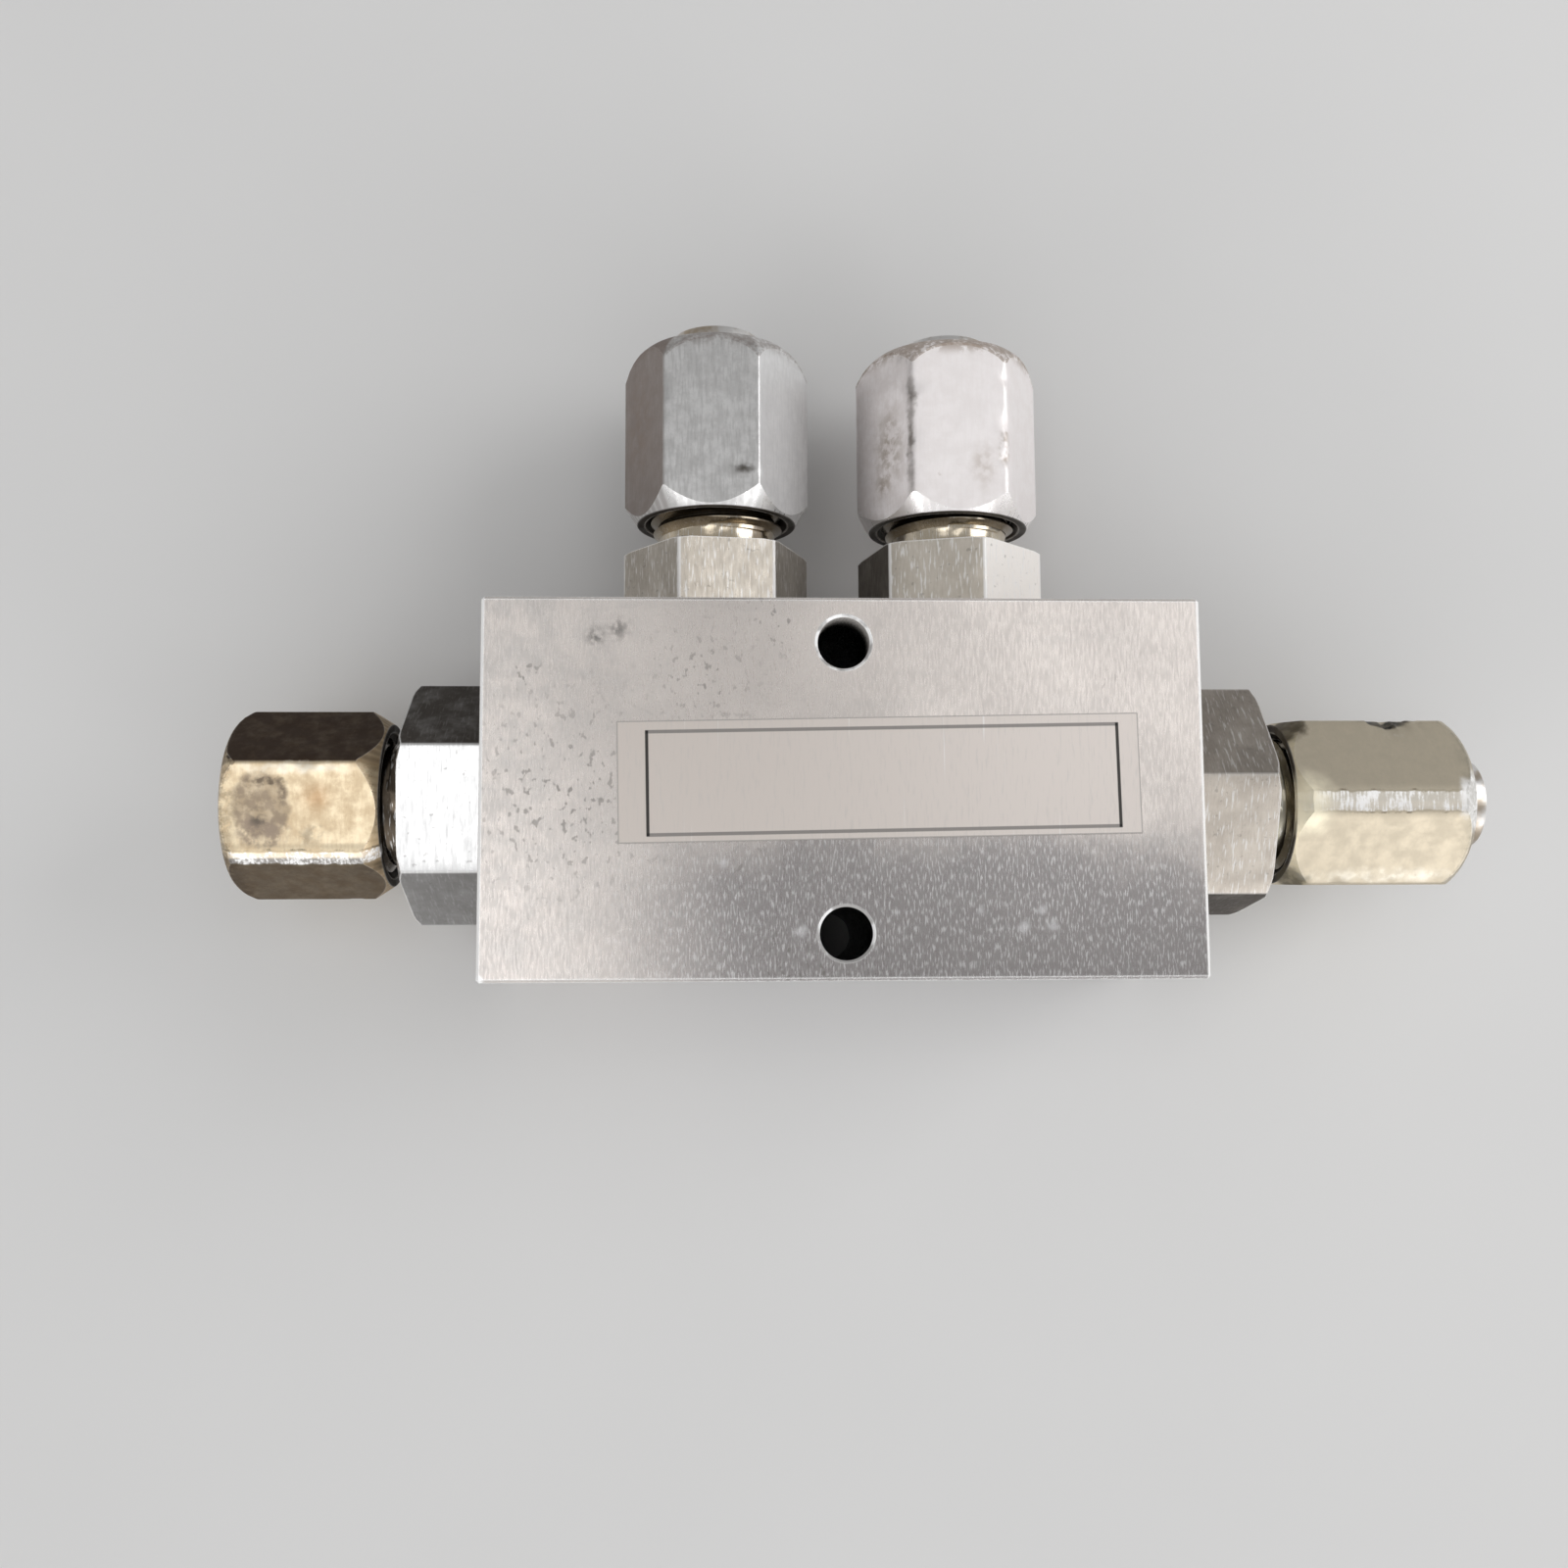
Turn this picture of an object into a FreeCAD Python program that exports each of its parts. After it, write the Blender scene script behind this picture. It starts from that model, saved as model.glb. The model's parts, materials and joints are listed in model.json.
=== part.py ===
import FreeCAD, Part
import math
import os

# Hydraulic header block: one gallery, two end ports, two branch ports, each closed by a
# blanking plug under a union nut. Millimetres, +Z up. The origin is the middle of the
# mounting hole pattern on the back face, +X runs along the block, +Y points at the branches.

# Block
BLOCK_LENGTH = 72.0
BLOCK_WIDTH = 38.1
BLOCK_THICKNESS = 28.6
BLOCK_EDGE = 0.3
MOUNT_HOLE_RADIUS = 2.6
MOUNT_HOLE_EDGE = 0.25
MOUNT_HOLE_INSET = 4.6
BRANCH_SPACING = 25.4
GALLERY_BELOW_MIDDLE = 0.5
GALLERY_RADIUS = 5.5
OIL_BORE_RADIUS = 3.75
PORT_SPARE_DEPTH = 2.8
PORT_CONE_ANGLE = 12.0

# Data plate
PLATE_LENGTH = 51.9
PLATE_WIDTH = 12.1
PLATE_THICKNESS = 0.12
PLATE_RIGHT_OF_MIDDLE = 3.5
PLATE_ABOVE_MIDDLE = 0.9
PLATE_TILT = 1.0

# Studs that screw into the block, in two sizes
END_THREAD_RADIUS = 9.525
END_THREAD_LENGTH = 11.0
END_HEX = 22.2
END_HEX_LENGTH = 8.6
END_HEX_BEVEL = 0.5
END_TUBE_LENGTH = 12.45
BRANCH_THREAD_RADIUS = 7.14
BRANCH_THREAD_LENGTH = 9.5
BRANCH_HEX = 17.46
BRANCH_HEX_LENGTH = 7.6
BRANCH_HEX_BEVEL = 0.2
BRANCH_TUBE_LENGTH = 13.0
BEVEL_SPREAD = 1.75
SEAL_GROOVE_DEPTH = 0.9
SEAL_GROOVE_LENGTH = 2.4
STUD_CORNER = 0.3

# Tube end, the same on every stud: threaded outside, coned inside
TUBE_RADIUS = 4.7625
TUBE_THREAD_RADIUS = 7.14
TUBE_THREAD_PITCH = 1.4111
NECK_RADIUS = 6.25
NECK_LENGTH = 2.2
NECK_FILLET = 0.35
CONE_HALF_ANGLE = 12.0
CONE_LENGTH = 4.6
SOCKET_LENGTH = 2.4
THREAD_BEVEL = 0.6

# Union nuts: a pair on the branches, a longer one on the right end, a short one on the left
NUT_HEX = 17.46
BRANCH_NUT_LENGTH = 18.9
RIGHT_NUT_LENGTH = 19.25
LONG_NUT_CROWN = 2.9
LONG_NUT_FACE_RADIUS = 8.0
LEFT_NUT_LENGTH = 15.95
LEFT_NUT_CROWN = 1.9
LEFT_NUT_FACE_RADIUS = 8.5
CROWN_BULGE = 0.3
NUT_SKIRT_BEVEL = 2.3
NUT_SKIRT_RADIUS = 8.6
NUT_THREAD_DEPTH = 11.5
NUT_REACH = 10.15

# Blanking plugs and their seals
PLUG_FLANGE_RADIUS = 6.6
PLUG_FLANGE_GAP = 0.4
PLUG_NOSE_BEVEL = 0.4
PLUG_END_BEVEL = 0.4
PLUG_DIMPLE_RADIUS = 1.3
PLUG_DIMPLE_DEPTH = 0.9
PLUG_SEAL_SECTION = 0.55
PLUG_SEAL_BACK = 2.4

# How each fitting was left: degrees its stud's and its nut's hexagons are turned, turns its nut
# is short of tight, how far its plug stands out of the nut, how round the nut's corners have
# become, and how wide a flat is worn along the corner that has taken the knocks
LEFT_END_STUD_TURN = -6.6
LEFT_END_NUT_TURN = -8.6
LEFT_END_TURNS_LOOSE = 0.0
LEFT_END_PLUG_SHOWS = 0.8
LEFT_END_NUT_CORNER = 0.7
LEFT_END_WORN_FLAT = 1.6
RIGHT_END_STUD_TURN = 21.5
RIGHT_END_NUT_TURN = 33.3
RIGHT_END_TURNS_LOOSE = 0.4
RIGHT_END_PLUG_SHOWS = 2.8
RIGHT_END_NUT_CORNER = 0.7
RIGHT_END_WORN_FLAT = 2.2
LEFT_BRANCH_STUD_TURN = 7.3
LEFT_BRANCH_NUT_TURN = -3.4
LEFT_BRANCH_TURNS_LOOSE = 0.4
LEFT_BRANCH_PLUG_SHOWS = 2.2
LEFT_BRANCH_NUT_CORNER = 0.35
RIGHT_BRANCH_STUD_TURN = -15.9
RIGHT_BRANCH_NUT_TURN = 1.7
RIGHT_BRANCH_TURNS_LOOSE = 0.05
RIGHT_BRANCH_PLUG_SHOWS = 1.9
RIGHT_BRANCH_NUT_CORNER = 0.9

# Clearances, how far a cutting shape reaches past the surface it cuts, and how near two points
# are that count as one
RUNNING_GAP = 0.05
SEAT_GAP = 0.05
NOSE_GAP = 0.4
CUT_PAST = 1.0
NEAR = 0.001

UP = FreeCAD.Vector(0, 0, 1)
MIDDLE = FreeCAD.Vector(0, 0, 0)
port_height = BLOCK_THICKNESS / 2


class Fitting:
    """One plugged port: where it stands, which stud and nut it has, and how they are turned."""

    def __init__(self, name, port, outward, stud, nut, stud_turn, nut_turn, turns_loose, plug_shows,
                 nut_corner, worn_flat=0.0):
        self.name = name
        self.port = port
        self.outward = outward
        self.stud = stud
        self.nut = nut
        self.stud_turn = stud_turn
        self.nut_turn = nut_turn
        self.loose = turns_loose * TUBE_THREAD_PITCH
        self.plug_shows = plug_shows
        self.nut_corner = nut_corner
        self.worn_flat = worn_flat


class Stud:
    """Sizes of a stud's block end."""

    def __init__(self, thread_radius, thread_length, hex_size, hex_length, hex_bevel, tube_length):
        self.thread_radius = thread_radius
        self.thread_length = thread_length
        self.groove_radius = thread_radius - SEAL_GROOVE_DEPTH
        self.hex_size = hex_size
        self.hex_length = hex_length
        self.hex_bevel = hex_bevel
        self.tube_end = hex_length + tube_length


class Nut:
    """Sizes of a union nut's outside."""

    def __init__(self, length, crown, face_radius):
        self.length = length
        self.crown = crown
        self.face_radius = face_radius


END_STUD = Stud(END_THREAD_RADIUS, END_THREAD_LENGTH, END_HEX,
                END_HEX_LENGTH, END_HEX_BEVEL, END_TUBE_LENGTH)
BRANCH_STUD = Stud(BRANCH_THREAD_RADIUS, BRANCH_THREAD_LENGTH, BRANCH_HEX,
                   BRANCH_HEX_LENGTH, BRANCH_HEX_BEVEL, BRANCH_TUBE_LENGTH)
LEFT_NUT = Nut(LEFT_NUT_LENGTH, LEFT_NUT_CROWN, LEFT_NUT_FACE_RADIUS)
RIGHT_NUT = Nut(RIGHT_NUT_LENGTH, LONG_NUT_CROWN, LONG_NUT_FACE_RADIUS)
BRANCH_NUT = Nut(BRANCH_NUT_LENGTH, LONG_NUT_CROWN, LONG_NUT_FACE_RADIUS)

end_x = BLOCK_LENGTH / 2
branch_x = BRANCH_SPACING / 2
branch_y = BLOCK_WIDTH / 2
gallery_y = -GALLERY_BELOW_MIDDLE

FITTINGS = [
    Fitting("left_end", (-end_x, gallery_y), (-1, 0), END_STUD, LEFT_NUT,
            LEFT_END_STUD_TURN, LEFT_END_NUT_TURN, LEFT_END_TURNS_LOOSE, LEFT_END_PLUG_SHOWS,
            LEFT_END_NUT_CORNER, LEFT_END_WORN_FLAT),
    Fitting("right_end", (end_x, gallery_y), (1, 0), END_STUD, RIGHT_NUT,
            RIGHT_END_STUD_TURN, RIGHT_END_NUT_TURN, RIGHT_END_TURNS_LOOSE, RIGHT_END_PLUG_SHOWS,
            RIGHT_END_NUT_CORNER, RIGHT_END_WORN_FLAT),
    Fitting("left_branch", (-branch_x, branch_y), (0, 1), BRANCH_STUD, BRANCH_NUT,
            LEFT_BRANCH_STUD_TURN, LEFT_BRANCH_NUT_TURN, LEFT_BRANCH_TURNS_LOOSE,
            LEFT_BRANCH_PLUG_SHOWS, LEFT_BRANCH_NUT_CORNER),
    Fitting("right_branch", (branch_x, branch_y), (0, 1), BRANCH_STUD, BRANCH_NUT,
            RIGHT_BRANCH_STUD_TURN, RIGHT_BRANCH_NUT_TURN, RIGHT_BRANCH_TURNS_LOOSE,
            RIGHT_BRANCH_PLUG_SHOWS, RIGHT_BRANCH_NUT_CORNER),
]


def turned(outline):
    """Solid of revolution about Z from (radius, height) corners."""
    corners = [FreeCAD.Vector(radius, 0, height) for radius, height in outline]
    face = Part.Face(Part.makePolygon(corners + corners[:1]))
    return face.revolve(MIDDLE, UP, 360)


def crowned(outline, bulge):
    """Solid of revolution whose last slope, the one up to its top face, bulges outwards."""
    corners = [FreeCAD.Vector(radius, 0, height) for radius, height in outline]
    last_slope = len(corners) - 3
    edges = []
    for k, start in enumerate(corners):
        end = corners[(k + 1) % len(corners)]
        if k == last_slope:
            along = (end - start).normalize()
            outward = FreeCAD.Vector(along.z, 0, -along.x)
            edges.append(Part.Arc(start, (start + end) / 2 + outward * bulge, end).toShape())
        else:
            edges.append(Part.LineSegment(start, end).toShape())
    return Part.Face(Part.Wire(edges)).revolve(MIDDLE, UP, 360)


def hex_bar(across_flats, start, end, turn, corner_round, worn_flat=0.0):
    """Hexagonal bar along Z, turned from X, with rounded corners and perhaps its second one worn flat."""
    corner = across_flats / math.sqrt(3)
    angles = [math.radians(turn + 60 * k) for k in range(6)]
    corners = [FreeCAD.Vector(corner * math.cos(a), corner * math.sin(a), start) for a in angles]
    bar = Part.Face(Part.makePolygon(corners + corners[:1])).extrude(UP * (end - start))
    if worn_flat:
        bar = bar.makeChamfer(worn_flat / math.sqrt(3), [edge_at(bar, corners[1])])
        corners.pop(1)
    return bar.makeFillet(corner_round, [edge_at(bar, point) for point in corners])


def edge_at(bar, foot):
    """The bar's long edge that rises from a corner of its start face."""
    for edge in bar.Edges:
        low, high = sorted((vertex.Point for vertex in edge.Vertexes), key=lambda point: point.z)
        if low.isEqual(foot, NEAR) and high.z > foot.z + NEAR:
            return edge


def stand(shape, fitting):
    """Move a piece built along Z onto its port, with Z pointing out of the block."""
    outward = FreeCAD.Vector(fitting.outward[0], fitting.outward[1], 0)
    side = UP.cross(outward)
    foot = FreeCAD.Vector(fitting.port[0], fitting.port[1], port_height)
    matrix = FreeCAD.Matrix(
        side.x, UP.x, outward.x, foot.x,
        side.y, UP.y, outward.y, foot.y,
        side.z, UP.z, outward.z, foot.z,
        0, 0, 0, 1)
    placed = shape.copy()
    placed.Placement = FreeCAD.Placement(matrix)
    return placed


def port_cut(fitting):
    """Threaded port with its seal cone, and the drilling from its floor to the gallery."""
    stud = fitting.stud
    wall = stud.thread_radius + RUNNING_GAP
    floor = -(stud.thread_length + PORT_SPARE_DEPTH)
    mouth = wall + SEAL_GROOVE_LENGTH * math.tan(math.radians(PORT_CONE_ANGLE))
    port = turned([(0, floor), (wall, floor), (wall, -SEAL_GROOVE_LENGTH),
                   (mouth, 0), (mouth, CUT_PAST), (0, CUT_PAST)])
    return stand(port, fitting)


def manifold_block():
    half_length = BLOCK_LENGTH / 2
    half_width = BLOCK_WIDTH / 2
    block = Part.makeBox(BLOCK_LENGTH, BLOCK_WIDTH, BLOCK_THICKNESS,
                         FreeCAD.Vector(-half_length, -half_width, 0))
    block = block.makeChamfer(BLOCK_EDGE, block.Edges)
    for side in (-1, 1):
        hole_y = side * (half_width - MOUNT_HOLE_INSET)
        block = block.cut(mounting_hole(hole_y))
    gallery = Part.makeCylinder(GALLERY_RADIUS, BLOCK_LENGTH - 2 * END_THREAD_LENGTH,
                                FreeCAD.Vector(-half_length + END_THREAD_LENGTH, gallery_y, port_height),
                                FreeCAD.Vector(1, 0, 0))
    block = block.cut(gallery)
    for side in (-1, 1):
        drilling = Part.makeCylinder(OIL_BORE_RADIUS, half_width - gallery_y - BRANCH_THREAD_LENGTH,
                                     FreeCAD.Vector(side * branch_x, gallery_y, port_height),
                                     FreeCAD.Vector(0, 1, 0))
        block = block.cut(drilling)
    for fitting in FITTINGS:
        block = block.cut(port_cut(fitting))
    return block


def mounting_hole(hole_y):
    wide = MOUNT_HOLE_RADIUS + MOUNT_HOLE_EDGE
    hole = turned([
        (0, -CUT_PAST), (wide, -CUT_PAST), (wide, 0), (MOUNT_HOLE_RADIUS, MOUNT_HOLE_EDGE),
        (MOUNT_HOLE_RADIUS, BLOCK_THICKNESS - MOUNT_HOLE_EDGE), (wide, BLOCK_THICKNESS),
        (wide, BLOCK_THICKNESS + CUT_PAST), (0, BLOCK_THICKNESS + CUT_PAST)])
    hole.translate(FreeCAD.Vector(0, hole_y, 0))
    return hole


def data_plate():
    middle = FreeCAD.Vector(PLATE_RIGHT_OF_MIDDLE, PLATE_ABOVE_MIDDLE, BLOCK_THICKNESS)
    corner = middle - FreeCAD.Vector(PLATE_LENGTH / 2, PLATE_WIDTH / 2, 0)
    plate = Part.makeBox(PLATE_LENGTH, PLATE_WIDTH, PLATE_THICKNESS, corner)
    plate.rotate(middle, UP, PLATE_TILT)
    return plate


def cone_widening():
    """How much wider the tube cone is at its mouth than at the socket."""
    return CONE_LENGTH * math.tan(math.radians(CONE_HALF_ANGLE))


def stud_body(fitting):
    """Turned stud: block thread, seal groove, hexagon, neck, tube thread, and its bore and cone."""
    stud = fitting.stud
    end = stud.tube_end
    neck_end = stud.hex_length + NECK_LENGTH
    slope = TUBE_THREAD_RADIUS - NECK_RADIUS
    hex_corner = stud.hex_size / math.sqrt(3)
    stem = turned([
        (0, -stud.thread_length),
        (stud.thread_radius - THREAD_BEVEL, -stud.thread_length),
        (stud.thread_radius, -stud.thread_length + THREAD_BEVEL),
        (stud.thread_radius, -SEAL_GROOVE_LENGTH),
        (stud.groove_radius, -SEAL_GROOVE_LENGTH + SEAL_GROOVE_DEPTH / 2),
        (stud.groove_radius, 0),
        (NECK_RADIUS + NECK_FILLET, stud.hex_length / 2),
        (NECK_RADIUS + NECK_FILLET, stud.hex_length),
        (NECK_RADIUS, stud.hex_length + NECK_FILLET),
        (NECK_RADIUS, neck_end - slope / 2),
        (TUBE_THREAD_RADIUS, neck_end + slope / 2),
        (TUBE_THREAD_RADIUS, end - THREAD_BEVEL),
        (TUBE_THREAD_RADIUS - THREAD_BEVEL, end),
        (0, end)])
    collar = turned([
        (0, 0), (hex_corner, 0), (hex_corner, stud.hex_length - stud.hex_bevel),
        (hex_corner - BEVEL_SPREAD * stud.hex_bevel, stud.hex_length), (0, stud.hex_length)])
    wrench = hex_bar(stud.hex_size, 0, stud.hex_length, fitting.stud_turn, STUD_CORNER).common(collar)
    socket = TUBE_RADIUS + RUNNING_GAP
    shoulder = end - CONE_LENGTH - SOCKET_LENGTH
    below = -stud.thread_length - CUT_PAST
    mouth = socket + cone_widening()
    bore = turned([
        (0, below), (OIL_BORE_RADIUS, below), (OIL_BORE_RADIUS, shoulder), (socket, shoulder),
        (socket, end - CONE_LENGTH), (mouth, end), (mouth, end + CUT_PAST), (0, end + CUT_PAST)])
    return stand(stem.fuse(wrench).cut(bore).removeSplitter(), fitting)


def stud_seal(fitting):
    """Ring in the groove under the hexagon, squeezed against the port's cone."""
    stud = fitting.stud
    middle = SEAL_GROOVE_LENGTH / 2
    inner = stud.groove_radius
    outer = stud.thread_radius + RUNNING_GAP + middle * math.tan(math.radians(PORT_CONE_ANGLE))
    section = (outer - inner) / 2 - RUNNING_GAP
    ring = Part.makeTorus((outer + inner) / 2, section, FreeCAD.Vector(0, 0, -middle + RUNNING_GAP), UP)
    return stand(ring, fitting)


def blanking_plug(fitting):
    """Turned plug: nose, cone with a seal groove, flange, and a centre-drilled shank out of the nut."""
    top = nut_foot(fitting) + fitting.nut.length + fitting.plug_shows
    seat = fitting.stud.tube_end + fitting.loose
    cone_top = TUBE_RADIUS + cone_widening() - SEAT_GAP
    nose = seat - CONE_LENGTH - SOCKET_LENGTH + NOSE_GAP
    flange = seat + PLUG_FLANGE_GAP
    back = nut_seat(fitting, PLUG_FLANGE_RADIUS) - SEAT_GAP
    plug = turned([
        (0, nose), (TUBE_RADIUS - PLUG_NOSE_BEVEL, nose), (TUBE_RADIUS, nose + PLUG_NOSE_BEVEL),
        (TUBE_RADIUS, seat - CONE_LENGTH + SEAT_GAP), (cone_top, seat), (cone_top, flange),
        (PLUG_FLANGE_RADIUS, flange), (PLUG_FLANGE_RADIUS, back),
        (TUBE_RADIUS, back + PLUG_FLANGE_RADIUS - TUBE_RADIUS),
        (TUBE_RADIUS, top - PLUG_END_BEVEL),
        (TUBE_RADIUS - PLUG_END_BEVEL, top), (PLUG_DIMPLE_RADIUS, top), (0, top - PLUG_DIMPLE_DEPTH)])
    major, height = plug_seal_place(fitting)
    half = PLUG_SEAL_SECTION + RUNNING_GAP
    floor = major - half
    outside = cone_top + CUT_PAST
    groove = turned([(floor, height - half), (outside, height - half),
                     (outside, height + half), (floor, height + half)])
    return stand(plug.cut(groove), fitting)


def plug_seal_place(fitting):
    """Ring radius and height at which the plug's seal touches the stud's cone."""
    height = fitting.stud.tube_end + fitting.loose - PLUG_SEAL_BACK
    up_cone = CONE_LENGTH - PLUG_SEAL_BACK
    wall = TUBE_RADIUS + up_cone * math.tan(math.radians(CONE_HALF_ANGLE))
    return wall - PLUG_SEAL_SECTION / math.cos(math.radians(CONE_HALF_ANGLE)), height


def plug_seal(fitting):
    major, height = plug_seal_place(fitting)
    ring = Part.makeTorus(major, PLUG_SEAL_SECTION, FreeCAD.Vector(0, 0, height), UP)
    return stand(ring, fitting)


def nut_foot(fitting):
    """Height of the nut's open face over the block."""
    return fitting.stud.tube_end - NUT_REACH + fitting.loose


def nut_seat(fitting, radius):
    """Height at which the nut's inner cone has some radius."""
    return nut_foot(fitting) + NUT_THREAD_DEPTH + TUBE_THREAD_RADIUS + RUNNING_GAP - radius


def union_nut(fitting):
    """Hexagon rounded off by a cone at each end, bored for thread, seat and plug shank."""
    nut = fitting.nut
    foot = nut_foot(fitting)
    top = foot + nut.length
    corner = NUT_HEX / math.sqrt(3)
    outside = crowned([
        (0, foot), (NUT_SKIRT_RADIUS, foot), (corner, foot + NUT_SKIRT_BEVEL),
        (corner, top - nut.crown), (nut.face_radius, top), (0, top)], CROWN_BULGE)
    bar = hex_bar(NUT_HEX, foot, top, fitting.nut_turn, fitting.nut_corner, fitting.worn_flat)
    body = bar.common(outside)
    thread = TUBE_THREAD_RADIUS + RUNNING_GAP
    passage = TUBE_RADIUS + RUNNING_GAP
    bore = turned([
        (0, foot - CUT_PAST), (thread + THREAD_BEVEL, foot - CUT_PAST), (thread + THREAD_BEVEL, foot),
        (thread, foot + THREAD_BEVEL), (thread, foot + NUT_THREAD_DEPTH),
        (passage, nut_seat(fitting, passage)), (passage, top + CUT_PAST), (0, top + CUT_PAST)])
    return stand(body.cut(bore), fitting)


def build():
    pieces = {"manifold_block": manifold_block(), "data_plate": data_plate()}
    for fitting in FITTINGS:
        pieces[fitting.name + "_stud_body"] = stud_body(fitting)
        pieces[fitting.name + "_stud_seal"] = stud_seal(fitting)
        pieces[fitting.name + "_blanking_plug"] = blanking_plug(fitting)
        pieces[fitting.name + "_plug_seal"] = plug_seal(fitting)
        pieces[fitting.name + "_union_nut"] = union_nut(fitting)
    return pieces


os.makedirs("parts", exist_ok=True)
for node, solid in build().items():
    solid.exportStep(os.path.join("parts", node + ".step"))
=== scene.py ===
import json
import math

import bmesh
import bpy
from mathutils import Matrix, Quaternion, Vector


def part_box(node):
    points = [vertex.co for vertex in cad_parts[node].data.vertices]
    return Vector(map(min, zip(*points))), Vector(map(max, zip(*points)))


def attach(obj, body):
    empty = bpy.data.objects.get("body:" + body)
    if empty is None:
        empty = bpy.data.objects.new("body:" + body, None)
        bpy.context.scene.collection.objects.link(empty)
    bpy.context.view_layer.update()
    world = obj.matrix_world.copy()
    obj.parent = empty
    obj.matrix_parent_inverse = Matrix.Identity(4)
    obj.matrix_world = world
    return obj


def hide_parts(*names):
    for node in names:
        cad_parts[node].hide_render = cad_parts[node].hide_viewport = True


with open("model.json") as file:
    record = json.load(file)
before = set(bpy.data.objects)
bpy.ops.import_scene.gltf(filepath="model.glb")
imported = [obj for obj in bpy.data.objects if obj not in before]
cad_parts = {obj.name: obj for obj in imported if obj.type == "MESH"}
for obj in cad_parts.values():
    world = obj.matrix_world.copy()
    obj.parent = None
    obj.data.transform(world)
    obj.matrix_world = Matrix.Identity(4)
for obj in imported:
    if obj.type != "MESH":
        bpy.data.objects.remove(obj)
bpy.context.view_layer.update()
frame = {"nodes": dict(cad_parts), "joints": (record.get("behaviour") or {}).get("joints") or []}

# A hydraulic header block with four plugged ports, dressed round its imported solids.
# Sizes are in millimetres and turns in degrees, unless a name or a comment says otherwise.
MM = 0.001
UP = Vector((0, 0, 1))

# Camera: where it stands, and its turn from looking straight down, as a rotation vector in radians
CAMERA_PLACE = Vector((-12.612, -15.916, 182.226))
CAMERA_TURN = Vector((0.10496342, -0.04233996, -0.00333815))
LENS = 36.0
SENSOR = 36.0

# Studio walls: the side that is bright, how bright the dark and bright sides are, and how far a
# direction has to point to the bright side for the change to start and to be complete
BRIGHT_SIDE = Vector((0.05, -0.80, -0.55))
WALL_LEVELS = (0.42, 1.35)
WALL_CHANGE = (-0.25, 0.45)

# Lamps: direction from the block, distance and width in metres, power in watts
LAMPS = {
    "door": ((0.80, 0.25, 0.50), 0.70, 0.44, 1.30),
    "front_left": ((-0.63, -0.67, 0.39), 0.75, 0.30, 0.45),
    "front_right": ((0.63, -0.67, 0.39), 0.75, 0.30, 0.45),
    "ceiling_left": ((-0.24, -0.10, 0.97), 0.75, 0.28, 0.34),
    "ceiling_back": ((-0.22, 0.22, 0.95), 0.75, 0.22, 0.09),
    "ceiling_right": ((0.27, 0.20, 0.94), 0.75, 0.29, 0.23),
}

# Floor: half its width in metres, and how far it lies under the block, so that the two faces don't
# show through each other
FLOOR_HALF = 3.0
FLOOR_DROP = 0.1

# Block and its two mounting holes
BLOCK_TOP = 28.6
MOUNT_HOLE_Y = 14.45
MOUNT_HOLE_RADIUS = 2.6

# Plate and its printed frame, which are tilted a little
PLATE_TILT = 1.0
PLATE_MIDDLE = Vector((3.5, 0.9, BLOCK_TOP))
PLATE_HALF = (25.95, 6.05)
PLATE_RIM = 0.16
PRINT_MIDDLE = Vector((3.9, 0.75, BLOCK_TOP))
PRINT_HALF = (23.4, 5.1)
PRINT_LINE = 0.16
PRINT_BLUR = 0.05

# Block studs
END_THREAD_RADIUS = 9.525
END_THREAD_LENGTH = 11.0
END_HEX = 22.2
END_HEX_LENGTH = 8.6
END_HEX_BEVEL = 0.5
BRANCH_THREAD_RADIUS = 7.14
BRANCH_THREAD_LENGTH = 9.5
BRANCH_HEX = 17.46
BRANCH_HEX_LENGTH = 7.6
BRANCH_HEX_BEVEL = 0.2
BEVEL_SPREAD = 1.75
SEAL_GROOVE_DEPTH = 0.9
SEAL_GROOVE_LENGTH = 2.4
OIL_BORE_RADIUS = 3.75

# Tube ends and their 60 degree thread, whose depth leaves a flat crest and a flat root
TUBE_RADIUS = 4.7625
TUBE_THREAD_RADIUS = 7.14
TUBE_THREAD_PITCH = 1.4111
THREAD_DEPTH = 0.764
THREAD_SLACK = 0.05
CREST_HALF = 1 / 16
ROOT_HALF = 1 / 8
SPARE_TURNS = 2
NECK_RADIUS = 6.25
NECK_LENGTH = 2.2
NECK_FILLET = 0.35
CONE_WIDENING = 0.978
CONE_LENGTH = 4.6
SOCKET_LENGTH = 2.4
THREAD_BEVEL = 0.6

# Union nuts and blanking plugs
NUT_HEX = 17.46
NUT_SKIRT_BEVEL = 2.3
NUT_SKIRT_RADIUS = 8.6
NUT_THREAD_DEPTH = 11.5
LONG_NUT_CROWN = 2.9
LONG_NUT_FACE_RADIUS = 8.0
LEFT_NUT_CROWN = 1.9
LEFT_NUT_FACE_RADIUS = 8.5
CROWN_BULGE = 0.3
CROWN_ROWS = 4
NUT_EDGE = 0.2
PLUG_NOSE_GAP = 0.4
PLUG_FLANGE_RADIUS = 6.6
PLUG_FLANGE_GAP = 0.4
PLUG_END_BEVEL = 0.4
PLUG_DIMPLE_RADIUS = 1.3
PLUG_DIMPLE_DEPTH = 0.9
PLUG_RING_PITCH = 0.12
RUNNING_GAP = 0.05

# Hexagons: half a side as an angle in radians, how round the studs' corners are, and how many
# points a corner and a flat have across them
HALF_SIDE = math.radians(30)
STUD_CORNER = 0.3
CORNER_POINTS = 5
FLAT_POINTS = 9

# Meshes: how close points are to be joined, the bend that is shaded as an edge, and where the middle
# of a quarter round lies, as a share of its radius
WELD = 0.002
SHARP_ANGLE = 31.5
ROUND_MIDDLE = 0.3

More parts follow.
